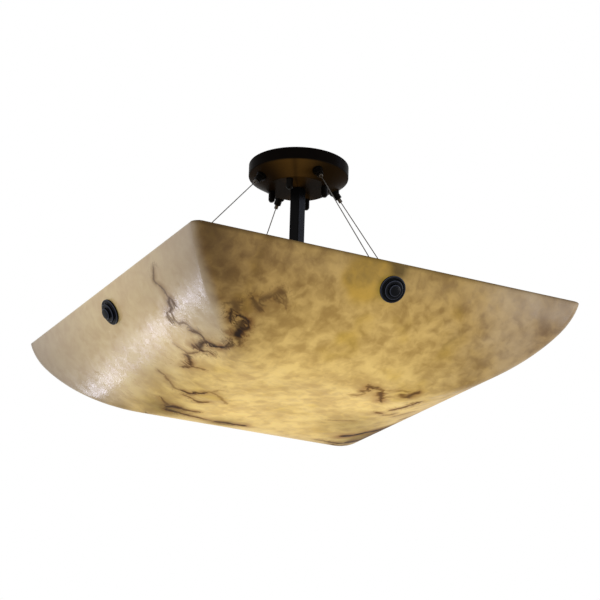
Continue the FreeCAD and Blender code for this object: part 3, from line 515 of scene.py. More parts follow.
def bulb_outline(inset):
    """Neck, concave flare and round end as one run, moved in by inset."""
    sweep = np.linspace(0, flare_sweep, 18)
    flare = np.stack(
        [
            BULB["neck"] + flare_radius * (1 - np.cos(sweep)) - inset * np.cos(sweep),
            flare_start + flare_radius * np.sin(sweep) + inset * np.sin(sweep),
        ],
        1,
    )
    lean = np.linspace(-flare_sweep, np.pi / 2, 30)[1:]
    radius = BULB["half"] - inset
    end = np.stack([radius * np.cos(lean), bulb_centre + radius * np.sin(lean)], 1)
    seat = BULB["seat"] - inset
    return np.concatenate([[[seat, cap_rim - BULB["sunk"]], [seat, cap_rim]], flare, end])


def screw_cap():
    """A cap whose wall waves in and out once per thread along a helix, with closed ends."""
    start, sides = CAP["start"], 72
    levels = np.linspace(start + 5.0, cap_rim - 1.2, 90)
    angle = np.linspace(0, 2 * np.pi, sides, endpoint=False)
    wave = 0.5 - 0.5 * np.cos(2 * np.pi * levels[:, None] / CAP["thread"] - angle[None])
    fade = np.clip(np.minimum(levels - levels[0], levels[-1] - levels) / 2.0, 0, 1)[:, None]
    radius = CAP["half"] - CAP["groove"] * wave * fade
    height = np.broadcast_to(levels[:, None], radius.shape)
    wall = np.stack([radius * np.cos(angle), radius * np.sin(angle), height], 2)
    button = [[0, -1.0], [2.6, -1.0], [3.0, -0.6], [3.0, 0.0], [5.0, 0.4], [9.2, 2.2], [12.4, 4.2]]
    tip = turned(np.array(button) + [0, start], sides)
    rim = [[CAP["half"], cap_rim - 0.6], [CAP["half"], cap_rim], [CAP["mouth"], cap_rim]]
    floor = [[CAP["mouth"], start + 6.0], [0.0, start + 6.0]]
    return np.concatenate([tip, wall, turned(np.array(rim + floor), sides)])


bulb_shape = turned(np.concatenate([bulb_outline(0), bulb_outline(BULB["glass"])[::-1]]), 96)
for corner, turn in CORNERS.items():
    body = f"lamp_{corner}"
    cap = skin(
        f"screw_cap_{corner}",
        [stood(screw_cap(), 0, LAMP_LEVEL, 90, turn)],
        aluminium,
        body,
    )
    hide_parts(f"lamp_cap_{corner}")
    bulb = skin(
        f"bulb_glass_{corner}",
        [stood(bulb_shape, 0, LAMP_LEVEL, 90, turn)],
        frosted,
        body,
    )
    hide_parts(f"bulb_{corner}")
    outward = np.array([math.cos(math.radians(turn)), math.sin(math.radians(turn)), 0])
    reach = vertex_array(bulb, "co", 1 / MM) @ outward
    paint(bulb, "along", (reach - cap_rim) / (bulb_centre + BULB["half"] - cap_rim))


# ---- bowl -----------------------------------------------------------------------------
# A square of cast resin, clouded and veined like alabaster, that was softened and slumped
# into a mould, so its sides curve into a flat bottom and its four ridges are round. It is
# polished outside, and the lamps shine through its 5 mm wall.

BOWL = {"half": 305.0, "depth": 130.0, "wall": 5.0, "rim": -255.0, "lean": math.radians(13)}
SHOULDER, BELLY, RIDGE, LIP = 111.0, 226.0, 12.0, 1.2
# The lean at which the shoulder's arc passes into the belly's.
turn_lean = math.asin(
    (BOWL["depth"] + SHOULDER * math.sin(BOWL["lean"]) - BELLY) / (SHOULDER - BELLY)
)


def bowl_section(inset, rows):
    """Out and level from the rim down: shoulder arc, belly arc, flat, moved in by inset.

    The rows are the counts of points on the three runs.
    """
    lean = np.linspace(BOWL["lean"], turn_lean, rows[0])
    drawn_in = math.cos(BOWL["lean"]) - np.cos(lean)
    drop = np.sin(lean) - math.sin(BOWL["lean"])
    out = BOWL["half"] - SHOULDER * drawn_in - inset * np.cos(lean)
    level = BOWL["rim"] - SHOULDER * drop + inset * np.sin(lean)
    shoulder = np.stack([out, level], 1)
    foot = shoulder[-1, 0] - (BELLY - inset) * math.cos(turn_lean)
    lean = np.linspace(turn_lean, np.pi / 2, rows[1])[1:]
    centre_level = BOWL["rim"] - BOWL["depth"] + BELLY
    belly = np.stack(
        [foot + (BELLY - inset) * np.cos(lean), centre_level - (BELLY - inset) * np.sin(lean)], 1
    )
    flat = np.linspace(foot, 0, rows[2])[1:]
    flat = np.stack([flat, np.full(len(flat), belly[-1, 1])], 1)
    return np.concatenate([shoulder, belly, flat])


def square_rings(section, ridge, straight=108, corner=13):
    """Each point of the section carried round a square whose corners have the ridge radius.

    Straight and corner are the counts of points on each side and round each corner.
    """
    out, level = section[:, 0], section[:, 1]
    radius = np.minimum(ridge, out)[:, None]
    share = np.linspace(-1, 1, straight + 1)[:-1]
    side_x = np.broadcast_to(out[:, None], (len(out), straight))
    side_y = (out[:, None] - radius) * share[None]
    angle = np.linspace(0, np.pi / 2, corner + 1)[:-1]
    arc_x = out[:, None] - radius + radius * np.cos(angle)
    arc_y = out[:, None] - radius + radius * np.sin(angle)
    x, y = np.concatenate([side_x, arc_x], 1), np.concatenate([side_y, arc_y], 1)
    ring_x = np.concatenate([x, -y, -x, y], 1)
    ring_y = np.concatenate([y, x, -y, -x], 1)
    height = np.broadcast_to(level[:, None], ring_x.shape)
    return np.stack([ring_x, ring_y, height], 2)


outside, inside = bowl_section(0.0, (15, 54, 28)), bowl_section(BOWL["wall"], (15, 20, 8))
# An oval lip closes the rim, from the inner wall over to the outer one.
across = outside[0] - inside[0]
lip_turn = np.linspace(0, np.pi, 9)[1:-1]
up = np.array([math.sin(BOWL["lean"]), math.cos(BOWL["lean"])])
lip_centre = (outside[0] + inside[0]) / 2 - up * LIP
swing = np.stack([np.cos(lip_turn), np.sin(lip_turn)])[:, :, None]
lip = lip_centre - swing[0] * across / 2 + swing[1] * up * LIP
section = np.concatenate([lip, outside[1:], inside[::-1][:-1]])
outer_rows = len(lip) + len(outside) - 1
ridge = np.full(len(section), RIDGE)
ridge[outer_rows:] = RIDGE - BOWL["wall"]
bowl_grid = square_rings(section, ridge)

# Each vein is a half width in millimetres, how dark it is, and a run of points in the
# photograph, listed in its pixels to the right and down.
VEINS = [
    # The smoke at the foot of the front left ridge, and the faint run from it on the front.
    (1.6, 0.8, [(231, 312), (230, 316), (231, 320)]),
    (2.0, 0.9, [(239, 316), (243, 318), (247, 319), (249, 321), (249, 324)]),
    (5.5, 0.75, [(242, 322), (240, 327)]),
    (6.0, 1, [(241, 330), (238, 334), (239, 337)]),
    (2.6, 0.9, [(248, 328), (243, 330)]),
    (3.0, 0.6, [(239, 338), (239, 343)]),
    (1.8, 0.7, [(230, 341), (232, 344), (229, 347)]),
    (3.0, 0.45, [(236, 304), (237, 309)]),
    (2.0, 0.35, [(228, 303), (240, 302)]),
    (2.4, 0.5, [(253, 299), (256, 304), (258, 307), (261, 309)]),
    (2.8, 0.4, [(262, 299), (266, 298), (272, 296), (276, 293), (280, 292), (283, 294)]),
    (2.4, 0.45, [(277, 299), (279, 301)]),
    (1.4, 0.3, [(286, 299), (287, 306)]),
    # The long crack on the left side, from near the rim down to that smoke.
    (1.1, 0.45, [(153, 269), (154, 275), (153.5, 280), (156, 283), (160, 286)]),
    (1.5, 0.5, [(160, 286), (164, 291), (167, 296), (169, 299)]),
    (2.0, 0.6, [(169, 298), (169, 303), (171, 308), (170, 312)]),
    (1.5, 0.55, [(171, 298), (174, 302), (175, 304)]),
    (1.3, 0.5, [(167, 312), (168, 317), (171, 321)]),
    (1.3, 0.45, [(171, 312), (173, 317), (174, 320)]),
    (1.2, 0.4, [(175, 321), (179, 324), (183, 322), (188, 325), (192, 328)]),
    (1.8, 0.65, [(192, 331), (197, 332), (200, 334), (203, 337), (205, 341)]),
    (2.6, 0.9, [(204, 340), (208, 343), (212, 345)]),
    (2.4, 1, [(212, 346), (218, 347), (225, 347)]),
    (2.0, 0.8, [(225, 347), (229, 344), (231, 341)]),
    # Branches low on the left side.
    (3.2, 0.85, [(204, 342), (200, 345), (199, 349), (203, 351)]),
    (2.4, 0.7, [(195, 347), (199, 350)]),
    (1.6, 0.6, [(203, 351), (208, 351), (212, 354)]),
    (1.0, 0.5, [(184, 351), (188, 354), (193, 353), (199, 351)]),
    (2.2, 0.8, [(187, 355), (189, 359), (191, 362), (191, 367)]),
    (1.6, 0.7, [(184, 367), (191, 367)]),
    (1.5, 0.6, [(191, 367), (197, 368), (203, 369)]),
    (1.0, 0.5, [(184, 363), (187, 365)]),
    (1.0, 0.35, [(176, 345), (181, 349), (185, 351)]),
    # Fans on the left of the bottom, and a broken line along its back.
    (1.6, 0.4, [(159, 371), (165, 376), (170, 382), (174, 388), (180, 390)]),
    (1.8, 0.85, [(183, 391), (188, 393), (192, 394), (195, 392.5), (200, 394), (205, 393)]),
    (1.2, 0.55, [(184, 395), (190, 397), (194, 400)]),
    (1.8, 0.7, [(194, 400), (199, 402), (207, 402)]),
    (1.6, 0.35, [(209, 392), (215, 394), (219, 397), (222, 400), (226, 403)]),
    (1.2, 0.25, [(214, 392), (219, 390), (224, 391)]),
    (1.6, 0.5, [(161, 398), (165, 402), (168, 405)]),
    (3.2, 0.85, [(168, 407), (173, 406), (180, 408)]),
    (2.0, 0.7, [(180, 408), (186, 410), (192, 411), (198, 412)]),
    (2.4, 0.8, [(168, 410), (178, 412.5), (186, 414.5)]),
    (2.4, 0.7, [(190, 416), (200, 418), (208, 420)]),
    (2.6, 0.9, [(216, 421.5), (226, 423), (234, 424.5), (244, 425.5)]),
    # Knots on the front right of the bottom.
    (1.6, 0.35, [(352, 395), (358, 395), (363, 394)]),
    (2.6, 0.65, [(364, 391), (367, 391)]),
    (2.0, 0.7, [(367, 389), (368, 386.5), (371, 387), (373, 388.5), (376, 388)]),
    (1.6, 0.5, [(377, 389), (381, 389.5), (384, 391)]),
    (3.0, 0.75, [(381, 393), (381, 397), (381, 401)]),
    (1.2, 0.3, [(384, 391), (392, 391), (400, 391), (412, 392)]),
    (1.2, 0.3, [(384, 397), (390, 397)]),
    (2.6, 0.55, [(402, 395), (404, 397)]),
    (3.0, 0.75, [(408, 397), (411, 395), (416, 393)]),
    (2.2, 0.6, [(377, 412.5), (380, 413)]),
    (1.8, 0.75, [
        (392, 410), (396, 409), (402, 408), (408, 406), (413, 404.5), (417, 402.5), (420, 402),
    ]),
    (1.4, 0.5, [(384, 415), (390, 415), (394, 414)]),
    (1.0, 0.4, [(394, 416.5), (404, 414), (414, 411.5)]),
    # The foot of the right side, and of its back ridge.
    (4.6, 1, [(344, 436), (352, 435.5), (360, 434), (366, 432.5)]),
    (5.5, 0.95, [(366, 432.5), (374, 431), (384, 428.5), (392, 425.5)]),
    (2.2, 0.9, [(404, 418.5), (410, 416.5), (416, 414)]),
    (2.0, 0.7, [(318, 440), (330, 442), (342, 443.5)]),
    (6.0, 0.8, [(348, 442), (360, 440), (370, 435.5), (382, 430)]),
    (1.0, 0.3, [(328, 420), (336, 420.5), (351, 420.5)]),
]
# Veins of the right side, the back and their ridge, which the photograph doesn't show, as
# points in millimetres on the wall or in it.
HIDDEN_VEINS = [
    (1.6, 0.85, [(291, 3, -290), (286, 3, -288), (175, 173, -369), (187, 184, -365)]),
    (1.1, 0.5, [(286, 3, -288), (285, 3, -288), (285, 2, -289), (285, 1, -289)]),
    (1.3, 0.6, [(175, 173, -369), (163, 162, -373), (151, 150, -375), (139, 138, -378)]),
    (1.8, 0.9, [
        (216, 219, -349), (205, 209, -355), (195, 198, -360), (174, 178, -373), (173, 175, -369),
        (162, 163, -373), (151, 154, -380),
    ]),
    (1.2, 0.5, [(195, 198, -360), (196, 201, -364), (185, 190, -369)]),
    (1.0, 0.45, [(195, 198, -360), (184, 187, -365), (173, 175, -369)]),
    (1.4, 0.7, [(-3, 290, -290), (-3, 286, -288), (-3, 285, -288), (-160, 162, -373)]),
]


def vein_fields(points, normals, veins):
    """Signed and plain distance to the nearest vein, and that vein's half width and darkness.

    The distance is taken to each run's segments. Its sign says on which side of the
    segment, seen from outside, the point lies, so that it crosses nought on the vein.
    """
    nearest = side = np.full(len(points), 1e6)
    width = np.ones(len(points))
    dark = np.zeros(len(points))
    for half_width, darkness, run in veins:
        ends = np.array(run, float)
        for start, end in zip(ends[:-1], ends[1:]):
            along = end - start
            share = np.clip((points - start) @ along / (along @ along), 0, 1)
            apart = points - start - share[:, None] * along
            distance = np.linalg.norm(apart, axis=1)
            sign = np.sign(np.einsum("ij,ij->i", np.cross(along, apart), normals))
            closer = distance < nearest
            nearest = np.where(closer, distance, nearest)
            side = np.where(closer, distance * sign, side)
            width = np.where(closer, half_width, width)
            dark = np.where(closer, darkness, dark)
    return side, nearest, width, dark


def lamp_glow(points, normals, spread=90.0, stray=0.35):
    """How much lamp light comes through the wall.

    Each lamp gives the stray share plus the cosine at which its light strikes, over the
    distance squared plus the spread squared, since the resin scatters it. The sum over the
    four lamps is eased at both ends, by what the resin swallows.
    """
    total = np.zeros(len(points))
    for turn in DIAGONALS:
        spin = math.radians(turn)
        lamp = np.array([math.cos(spin) * bulb_centre, math.sin(spin) * bulb_centre, LAMP_LEVEL])
        to_lamp = lamp - points
        distance = np.linalg.norm(to_lamp, axis=1)
        cosine = np.abs(np.sum(to_lamp * normals, 1)) / distance
        total += (stray + cosine) / (distance**2 + spread**2)
    reaching = (0.12, 0.28, 0.40, 0.55, 0.75, 0.95, 1.0)
    leaving = (0, 0.15, 0.30, 0.42, 0.50, 0.58, 0.68)
    return np.interp(total / total.max(), reaching, leaving)


def veined_resin():
    """Cast resin: soft brown clouds in a lighter net, dark smoky veins, lit from behind.

    The painted shares say where the resin is painted paler, as painted light, where a more
    golden pour of it lies, and where it is painted darker, as painted shade.
    """
    material = blank("veined_alabaster_resin", Specular_IOR_Level=0.25, Emission_Strength=1.0)
    relief(material, grain_mm=26, depth_mm=0.42)
    tree, shader = opened(material)

    def maths(operation, *values):
        return add(tree, "Math", dict(enumerate(values)), operation=operation)

    def eased(value, low, high, start=0.0, end=1.0):
        inputs = {"Value": value, "From Min": low, "From Max": high, "To Min": start, "To Max": end}
        return add(tree, "MapRange", inputs, interpolation_type="SMOOTHSTEP")

    def cloud(place, grain_mm, detail, out=0, **values):
        inputs = {"Vector": place, "Scale": 1 / (grain_mm * MM), "Detail": detail, **values}
        return add(tree, "TexNoise", inputs, out)

    def between(share, low, high):
        return add(tree, "Mix", {0: share, 6: low, 7: high}, 2, data_type="RGBA")

    def painted(name):
        return add(tree, "Attribute", {}, "Fac", attribute_name=name)

    # Clouds: cells of 20 mm, pulled out of shape, each darkest in its middle, with broad
    # patches of 55 mm and wisps of 12 mm.
    place = add(tree, "TexCoord", {}, "Object")
    drift = add(
        tree,
        "VectorMath",
        {0: cloud(place, 22, 2, "Color"), 1: (0.5, 0.5, 0.5)},
        operation="SUBTRACT",
    )
    pull = add(tree, "VectorMath", {0: drift, "Scale": 24 * MM}, operation="SCALE")
    moved = add(tree, "VectorMath", {0: place, 1: pull}, operation="ADD")
    cells = add(
        tree,
        "TexVoronoi",
        {"Vector": moved, "Scale": 1 / (20 * MM), "Smoothness": 1.0},
        "Distance",
        feature="SMOOTH_F1",
    )
    patch = cloud(place, 55, 3)
    wisp = cloud(moved, 12, 2.5)
    mottle = maths("MULTIPLY_ADD", cells, 0.55, maths("MULTIPLY_ADD", patch, 0.9, -0.45))
    mottle = maths("MULTIPLY_ADD", maths("SUBTRACT", wisp, 0.5), 0.72, mottle)
    mottle = eased(mottle, -0.11, 0.61)

    # Veins: dark cracks that stray and fray by a few millimetres, with a lace of finer ones
    # beside them, in a brown smoke that spreads with their width.
    rag = cloud(place, 13, 5, Roughness=0.62)
    fine = cloud(place, 4, 3)
    width, near, dark = painted("vein_width"), painted("vein_near"), painted("vein_dark")
    shift = maths("MULTIPLY_ADD", maths("SUBTRACT", rag, 0.5), 9.0, painted("vein_side"))
    shift = maths("MULTIPLY_ADD", maths("SUBTRACT", fine, 0.5), 3.0, shift)
    breadth = eased(cloud(place, 17, 3), 0.32, 0.66, 0.6, 1.6)
    ratio = maths("DIVIDE", maths("ABSOLUTE", shift), maths("MULTIPLY", width, breadth))
    core = maths("MULTIPLY", eased(ratio, 0.1, 2.5, 1.0, 0.0), eased(near, 4.0, 12.0, 1.0, 0.0))
    lace = maths("ABSOLUTE", maths("SUBTRACT", cloud(moved, 22, 4, Roughness=0.6), 0.5))
    lace = maths("MULTIPLY", eased(lace, 0.0, 0.03, 0.7, 0.0), eased(near, 5.0, 20.0, 1.0, 0.0))
    core = maths("MAXIMUM", core, maths("MULTIPLY", lace, eased(patch, 0.44, 0.6)))
    core = maths("MULTIPLY", core, maths("POWER", dark, 0.6))
    smoke = eased(maths("DIVIDE", near, maths("MULTIPLY_ADD", width, 5.5, 5.0)), 0.0, 1.0, 1.0, 0.0)
    smoke = maths("MULTIPLY", maths("MULTIPLY", smoke, dark), eased(rag, 0.3, 0.6, 0.45, 1.1))

    # Pours of amber and golden resin, and cream where it is painted paler as painted light,
    # then painted shade, smoke and veins over them. The cream is the most polished, and the
    # dark places are the dullest.
    pale = eased(maths("MULTIPLY_ADD", patch, 0.5, painted("pale")), 0.35, 1.05)
    golden = eased(maths("MULTIPLY_ADD", cloud(place, 70, 2), 1.0, painted("golden")), 0.56, 0.80)
    amber = between(mottle, colour("#66451b"), colour("#ad884e"))
    gold = between(mottle, colour("#5a3c02"), colour("#966a0c"))
    lit_cream = between(mottle, colour("#b6a28d"), colour("#bdab96"))
    body = between(pale, between(golden, amber, gold), lit_cream)
    body = between(painted("painted_shade"), body, colour("#3e290d"))
    body = between(smoke, body, colour("#57350f"))
    body = between(core, body, colour("#160a03"))
    tree.links.new(body, shader.inputs["Base Color"])
    gloss = maths("MULTIPLY_ADD", pale, -0.27, maths("MULTIPLY_ADD", wisp, 0.34, 0.27))
    gloss = maths("MULTIPLY_ADD", maths("MAXIMUM", core, painted("painted_shade")), 0.4, gloss)
    tree.links.new(gloss, shader.inputs["Roughness"])

    # Lamp light, coloured by the resin that it comes through.
    lit = between(mottle, (0.86, 0.57, 0.15, 1), (1.12, 0.85, 0.28, 1))
    lit = between(maths("MULTIPLY", golden, 0.4), lit, (0.98, 0.66, 0.03, 1))
    lit = between(smoke, lit, (0.50, 0.22, 0.02, 1))
    seep = between(dark, (0.42, 0.16, 0.01, 1), (0.04, 0.012, 0.001, 1))
    lit = between(core, lit, seep)
    lit = add(tree, "VectorMath", {0: lit, "Scale": painted("glow")}, operation="SCALE")
    tree.links.new(lit, shader.inputs["Emission Color"])
    return material


bowl = skin("bowl_slumped", [bowl_grid], veined_resin(), angle=60)
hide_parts("bowl")
wall_points = vertex_array(bowl, "co", 1 / MM)
wall_normals = vertex_array(bowl, "normal")

# The camera that matches the photograph stands three metres off, 27 degrees left of the
# front and 19 below level, and is rolled because the light there hangs out of level.
CAMERA_PLACE, CAMERA_AIM, CAMERA_ROLL = (-1.3013, -2.5645, -1.2519), (0, 0, -0.255), 1.75
LENS = {"length": 122.8, "sensor": 36.0, "shift_x": 0.01, "shift_y": 0.0412}
PICTURE_SIDE = 600
level_view = (Vector(CAMERA_AIM) - Vector(CAMERA_PLACE)).to_track_quat("-Z", "Y")
camera_turn = level_view @ Quaternion((0, 0, 1), math.radians(CAMERA_ROLL))


def wall_point(pixel, wall):
    """The point of the wall, to a millimetre, that a pixel of the photograph shows."""
    across = (pixel[0] / PICTURE_SIDE - 0.5 + LENS["shift_x"]) * LENS["sensor"]
    up = (0.5 - pixel[1] / PICTURE_SIDE + LENS["shift_y"]) * LENS["sensor"]
    ray = camera_turn @ Vector((across, up, -LENS["length"]))
    return np.round(np.array(wall.ray_cast(Vector(CAMERA_PLACE), ray)[0]) / MM)


work = bmesh.new()
work.from_mesh(bowl.data)
wall = BVHTree.FromBMesh(work)
work.free()
veins = [(half, dark, [wall_point(pixel, wall) for pixel in run]) for half, dark, run in VEINS]
vein_names = ("vein_side", "vein_near", "vein_width", "vein_dark")
fields = vein_fields(wall_points, wall_normals, veins + HIDDEN_VEINS)
for name, values in zip(vein_names, fields):
    paint(bowl, name, values)


def spot(points, centre, reach):
    """A soft round spot: one at its centre, and falling off as a bell curve of the distance."""
    return np.exp(-np.sum((points - np.array(centre)) ** 2, 1) / reach**2)


# Painted light: the left side, and the right-hand end of the front, are painted paler where light
# falls on them.
along_x, along_y, level = wall_points.T
left_share = ramp(-along_x - np.abs(along_y), -20, 20)
left_height = ramp(level, -384, -340)
right_end = ramp(along_x, 60, 300) * ramp(-along_x - along_y, -120, 80)
paint(bowl, "pale", np.maximum(left_share * left_height, 0.72 * right_end))

# Painted shade: the rim, its lip and the left ridges are painted darker, where less light reaches.
ridge_gap = np.abs(np.abs(along_x) - np.abs(along_y))
ridge_shade = np.exp(-((ridge_gap / 62) ** 2)) * ramp(level, -352, -307) * (along_x < 0)
rim_shade = ramp(level, -300, -255)
lip_shade = ramp(level, -259, -256.5)
painted_shade = 0.30 * rim_shade + 0.62 * ridge_shade + 0.9 * lip_shade
painted_shade = painted_shade * (1 - 0.9 * left_share) * (1 - 0.6 * right_end)

# Painted shade in spots, one a painted shadow above the front finial: the centre of each, how far
# it reaches, and how deep its shade is.
PAINTED_SHADE_SPOTS = (
    ((5, -303, -263), 12, 1.1),
    ((185, 125, -368), 48, 0.75),
    ((-150, 116, -380), 34, 0.7),
    ((-50, 128, -384), 26, 0.7),
    ((120, 33, -385), 55, 0.45),
    ((-66, -76, -385), 45, 0.18),
    ((110, -183, -371), 45, 0.1),
    ((196, 70, -366), 30, 0.6),
    ((-205, 35, -360), 80, 0.28),
)
GOLDEN_POURS = (((-50, -294, -280), 42, 0.34), ((-18, -301, -268), 13, 0.3))
painted_shade += sum(depth * spot(wall_points, centre, reach) for centre, reach, depth in PAINTED_SHADE_SPOTS)
painted_shade = np.clip(painted_shade, 0, 0.92)
golden = sum(depth * spot(wall_points, centre, reach) for centre, reach, depth in GOLDEN_POURS)
paint(bowl, "painted_shade", painted_shade)
# The painted shade dims the lamp glow too.
paint(bowl, "glow", lamp_glow(wall_points, wall_normals) * (1 - 0.75 * painted_shade))
paint(bowl, "golden", golden)


# ---- finials and cable anchors --------------------------------------------------------
# Outside each wall a stepped round finial, turned from bar and coated black, screws onto
# a bolt. Rubber pads lie between it, the wall and the washer of the anchor inside.

FINIAL_LEVEL = -289.0
PAD, STEP = 1.2, 3.6
wall_lean = math.asin(math.sin(BOWL["lean"]) + (BOWL["rim"] - FINIAL_LEVEL) / SHOULDER)
finial_out = BOWL["half"] - SHOULDER * (math.cos(BOWL["lean"]) - math.cos(wall_lean))
FINIAL_PLACE = (finial_out, FINIAL_LEVEL, 90 + math.degrees(wall_lean))

# Black lacquer over the turned steel: nearly black, with tight dim reflections.
finial_coat = finish(
    "finial_black_lacquer",
    "#05060a",
    "#0a0c12",
    cloud_mm=12,
    grain_mm=0.6,
    depth_mm=0.01,
    Roughness=0.16,
    Specular_IOR_Level=0.08,
)
# Painted highlight: a bluish glint, painted on each step's round edge.
mix_painted_light(finial_coat, "edge", "#474c5c")
FINIAL_TOPS = ((19.0, 1), (13.5, 2), (8.25, 3))
finial_outline = rounded(
    [
        (3.1, PAD, 0),
        (19.0, PAD, 0.4),
        (19.0, PAD + STEP, 1.1),
        (15.6, PAD + STEP + 0.1, 0.8),
        (14.6, PAD + STEP - 1.0, 0.5),
        (13.5, PAD + STEP, 0.4),
        (13.5, PAD + 2 * STEP, 1.1),
        (9.4, PAD + 2 * STEP, 0.5),
        (8.9, PAD + 2 * STEP - 0.8, 0.3),
        (8.25, PAD + 2 * STEP, 0.3),
        (8.25, PAD + 3 * STEP, 1.5),
        (0.0, PAD + 3 * STEP + 0.6, 0),
        (0.0, PAD + 1.5 * STEP + 1.5, 0),
        (3.1, PAD + 1.5 * STEP + 0.3, 0),
    ]
)
finials = skin(
    "side_finials_turned",
    around(finial_outline, 96, FINIAL_PLACE, QUARTERS),
    finial_coat,
)
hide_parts("side_finials")

# Painted highlight: a bluish painted glint on the round edge of each step, whose centre
# lies in from the step's radius and down from its top.
GLINT_IN, GLINT_WIDTH = 0.4, 0.55
unit_axis = np.array([[[0.0, 0.0, 0.0], [0.0, 0.0, 1.0]]])
finial_points = vertex_array(finials, "co", 1 / MM)
finial_glint = np.zeros(len(finial_points))
for turn in QUARTERS:
    foot, tip = stood(unit_axis, *FINIAL_PLACE, turn)[0]
    apart = finial_points - foot
    height = apart @ (tip - foot)
    radius = np.linalg.norm(apart - height[:, None] * (tip - foot), axis=1)
    for step_radius, steps in FINIAL_TOPS:
        gap = np.hypot(radius - step_radius + GLINT_IN, height - PAD - steps * STEP + GLINT_IN)
        finial_glint = np.maximum(finial_glint, np.exp(-((gap / GLINT_WIDTH) ** 2)))
paint(finials, "edge", finial_glint)

# Moulded nitrile rubber: a dull black that hardly takes a highlight.
rubber = finish("black_nitrile_rubber", "#141414", "#252422", 3, 0.6, 0.03, Roughness=0.75)
keep_node("outer_gaskets", rubber)
keep_node("inner_gaskets", rubber)

BALL = {"half": 2.9, "sunk": 20.0, "cut": 54}
THROAT = 1.7
washer_face = -BOWL["wall"] - PAD - WASHER
mouth = washer_face - 17.0
throat_level = -BALL["sunk"] - math.sqrt(BALL["half"] ** 2 - THROAT**2)
anchor_outline = rounded(
    [
        (3.2, mouth, 0.3),
        (6.0, mouth, 1.0),
        (6.0, washer_face, 0.3),
        (3.1, washer_face, 0),
        (3.1, washer_face - 7.5, 0),
        (3.2, washer_face - 8.0, 0),
        (3.2, throat_level + 1.0, 0),
        (THROAT, throat_level, 0),
    ]
)
anchors = skin(
    "cable_anchors_turned",
    around(anchor_outline, 48, FINIAL_PLACE, QUARTERS),
    zinc,
)
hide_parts("cable_anchors")


# ---- cables and grippers --------------------------------------------------------------
# Stainless wire rope of seven strands, 1.6 mm, pulled tight, with a ball swaged on its
# end. A push-release gripper in a conical seat holds each one in the canopy's cone.

SIDES = {"right": 0, "back": 90, "left": 180, "front": 270}
ROPE = {"half": 0.8, "lay": 11.0, "groove": 0.17, "tail": 22.0, "in_ball": 2.8}
ball_out = finial_out - BALL["sunk"] * math.cos(wall_lean)
ball_level = FINIAL_LEVEL + BALL["sunk"] * math.sin(wall_lean)
grip_out = (CANOPY["width"] + CANOPY["floor"]) / 4
grip_level = -(CANOPY["wall"] + CANOPY["height"]) / 2
cable_run = math.hypot(ball_out - grip_out, grip_level - ball_level)
cable_lean = math.degrees(math.atan2(ball_out - grip_out, grip_level - ball_level))
GRIP_PLACE = (grip_out, grip_level, 180 - cable_lean)


def rope(length, start):
    """Six outer strands: the radius dips between strands, and the dips wind along a helix."""
    levels = np.linspace(start, start + length, int(length / ROPE["lay"] * 12))
    angle = np.linspace(0, 2 * np.pi, 24, endpoint=False)
    phase = 3 * (angle[None] - 2 * np.pi * levels[:, None] / ROPE["lay"])
    radius = ROPE["half"] * (1 - ROPE["groove"] * (1 - np.abs(np.cos(phase))))
    height = np.broadcast_to(levels[:, None], radius.shape)
    wall = np.stack([radius * np.cos(angle), radius * np.sin(angle), height], 2)
    return np.concatenate([wall[:1] * [0, 0, 1], wall, wall[-1:] * [0, 0, 1]])


# Drawn stainless wire: a dark grey metal, striped where the strands turn away.
wire = finish(
    "stainless_wire_rope", "#353431", "#625e58", 1.5, 0.3, 0.01, Metallic=1.0, Roughness=0.34
)
rope_grid = rope(ROPE["tail"] + cable_run + ROPE["in_ball"], -ROPE["tail"])
# Turned steel, chemically blackened: a dark brownish grey metal with a satin shine.
release_steel = finish(
    "blackened_turned_steel", "#37332f", "#544f49", 1.2, 0.3, 0.01, Metallic=1.0, Roughness=0.3
)
CABLE_BORE = 1.2
release_outline = rounded(
    [(CABLE_BORE, 5.0, 0), (3.0, 5.0, 0.2), (3.0, 19.5, 1.0), (CABLE_BORE, 19.5, 0.2)]
)
for side_name, turn in SIDES.items():
    strand = skin(
        f"wire_rope_{side_name}",
        [stood(rope_grid, *GRIP_PLACE, turn)],
        wire,
        angle=80,
        loop=False,
    )
    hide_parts(f"cable_{side_name}")
    plunger = skin(
        f"release_plunger_{side_name}",
        around(release_outline, 48, GRIP_PLACE, [turn]),
        release_steel,
        f"release_{side_name}",
    )
    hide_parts(f"release_{side_name}")

# A ball cut off flat 54 degrees from its waist, where the cable enters and where it ends.
ball_turn = np.radians(np.linspace(-BALL["cut"], BALL["cut"], 15))
ball_cut = BALL["half"] * math.sin(math.radians(BALL["cut"]))
ball_curve = np.stack([np.cos(ball_turn), np.sin(ball_turn)], 1) * BALL["half"] + [0, cable_run]
ball_outline = np.concatenate(
    [[[0.85, cable_run - ball_cut]], ball_curve, [[0.85, cable_run + ball_cut]]]
)
balls = skin(
    "swaged_balls",
    around(ball_outline, 40, GRIP_PLACE, QUARTERS),
    wire,
)
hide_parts("cable_ball_ends")

barrel_outline = rounded(
    [
        (CABLE_BORE, -16.0, 0),
        (4.75, -16.0, 0.8),
        (4.75, 2.6, 0.1),
        (7.0, 2.6, 0.5),
        (7.0, 4.6, 0.5),
        (5.5, 4.6, 0.3),
        (5.5, 13.0, 1.0),
        (3.1, 13.0, 0.2),
        (3.1, 1.5, 0),
        (CABLE_BORE, 1.5, 0),
    ]
)
barrels = skin(
    "gripper_barrels_turned",
    around(barrel_outline, 60, GRIP_PLACE, QUARTERS),
    bronze_coat,
)
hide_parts("gripper_barrels")
keep_node("gripper_seats", bronze_coat)


# ---- studio ---------------------------------------------------------------------------
# A pale floor far below, a white surround, a broad soft light from the left and a smaller,
# stronger one from the right. Two narrow cards show in gloss only: one gives the bright
# band on the bowl's left side, the other a cool edge on the stem.


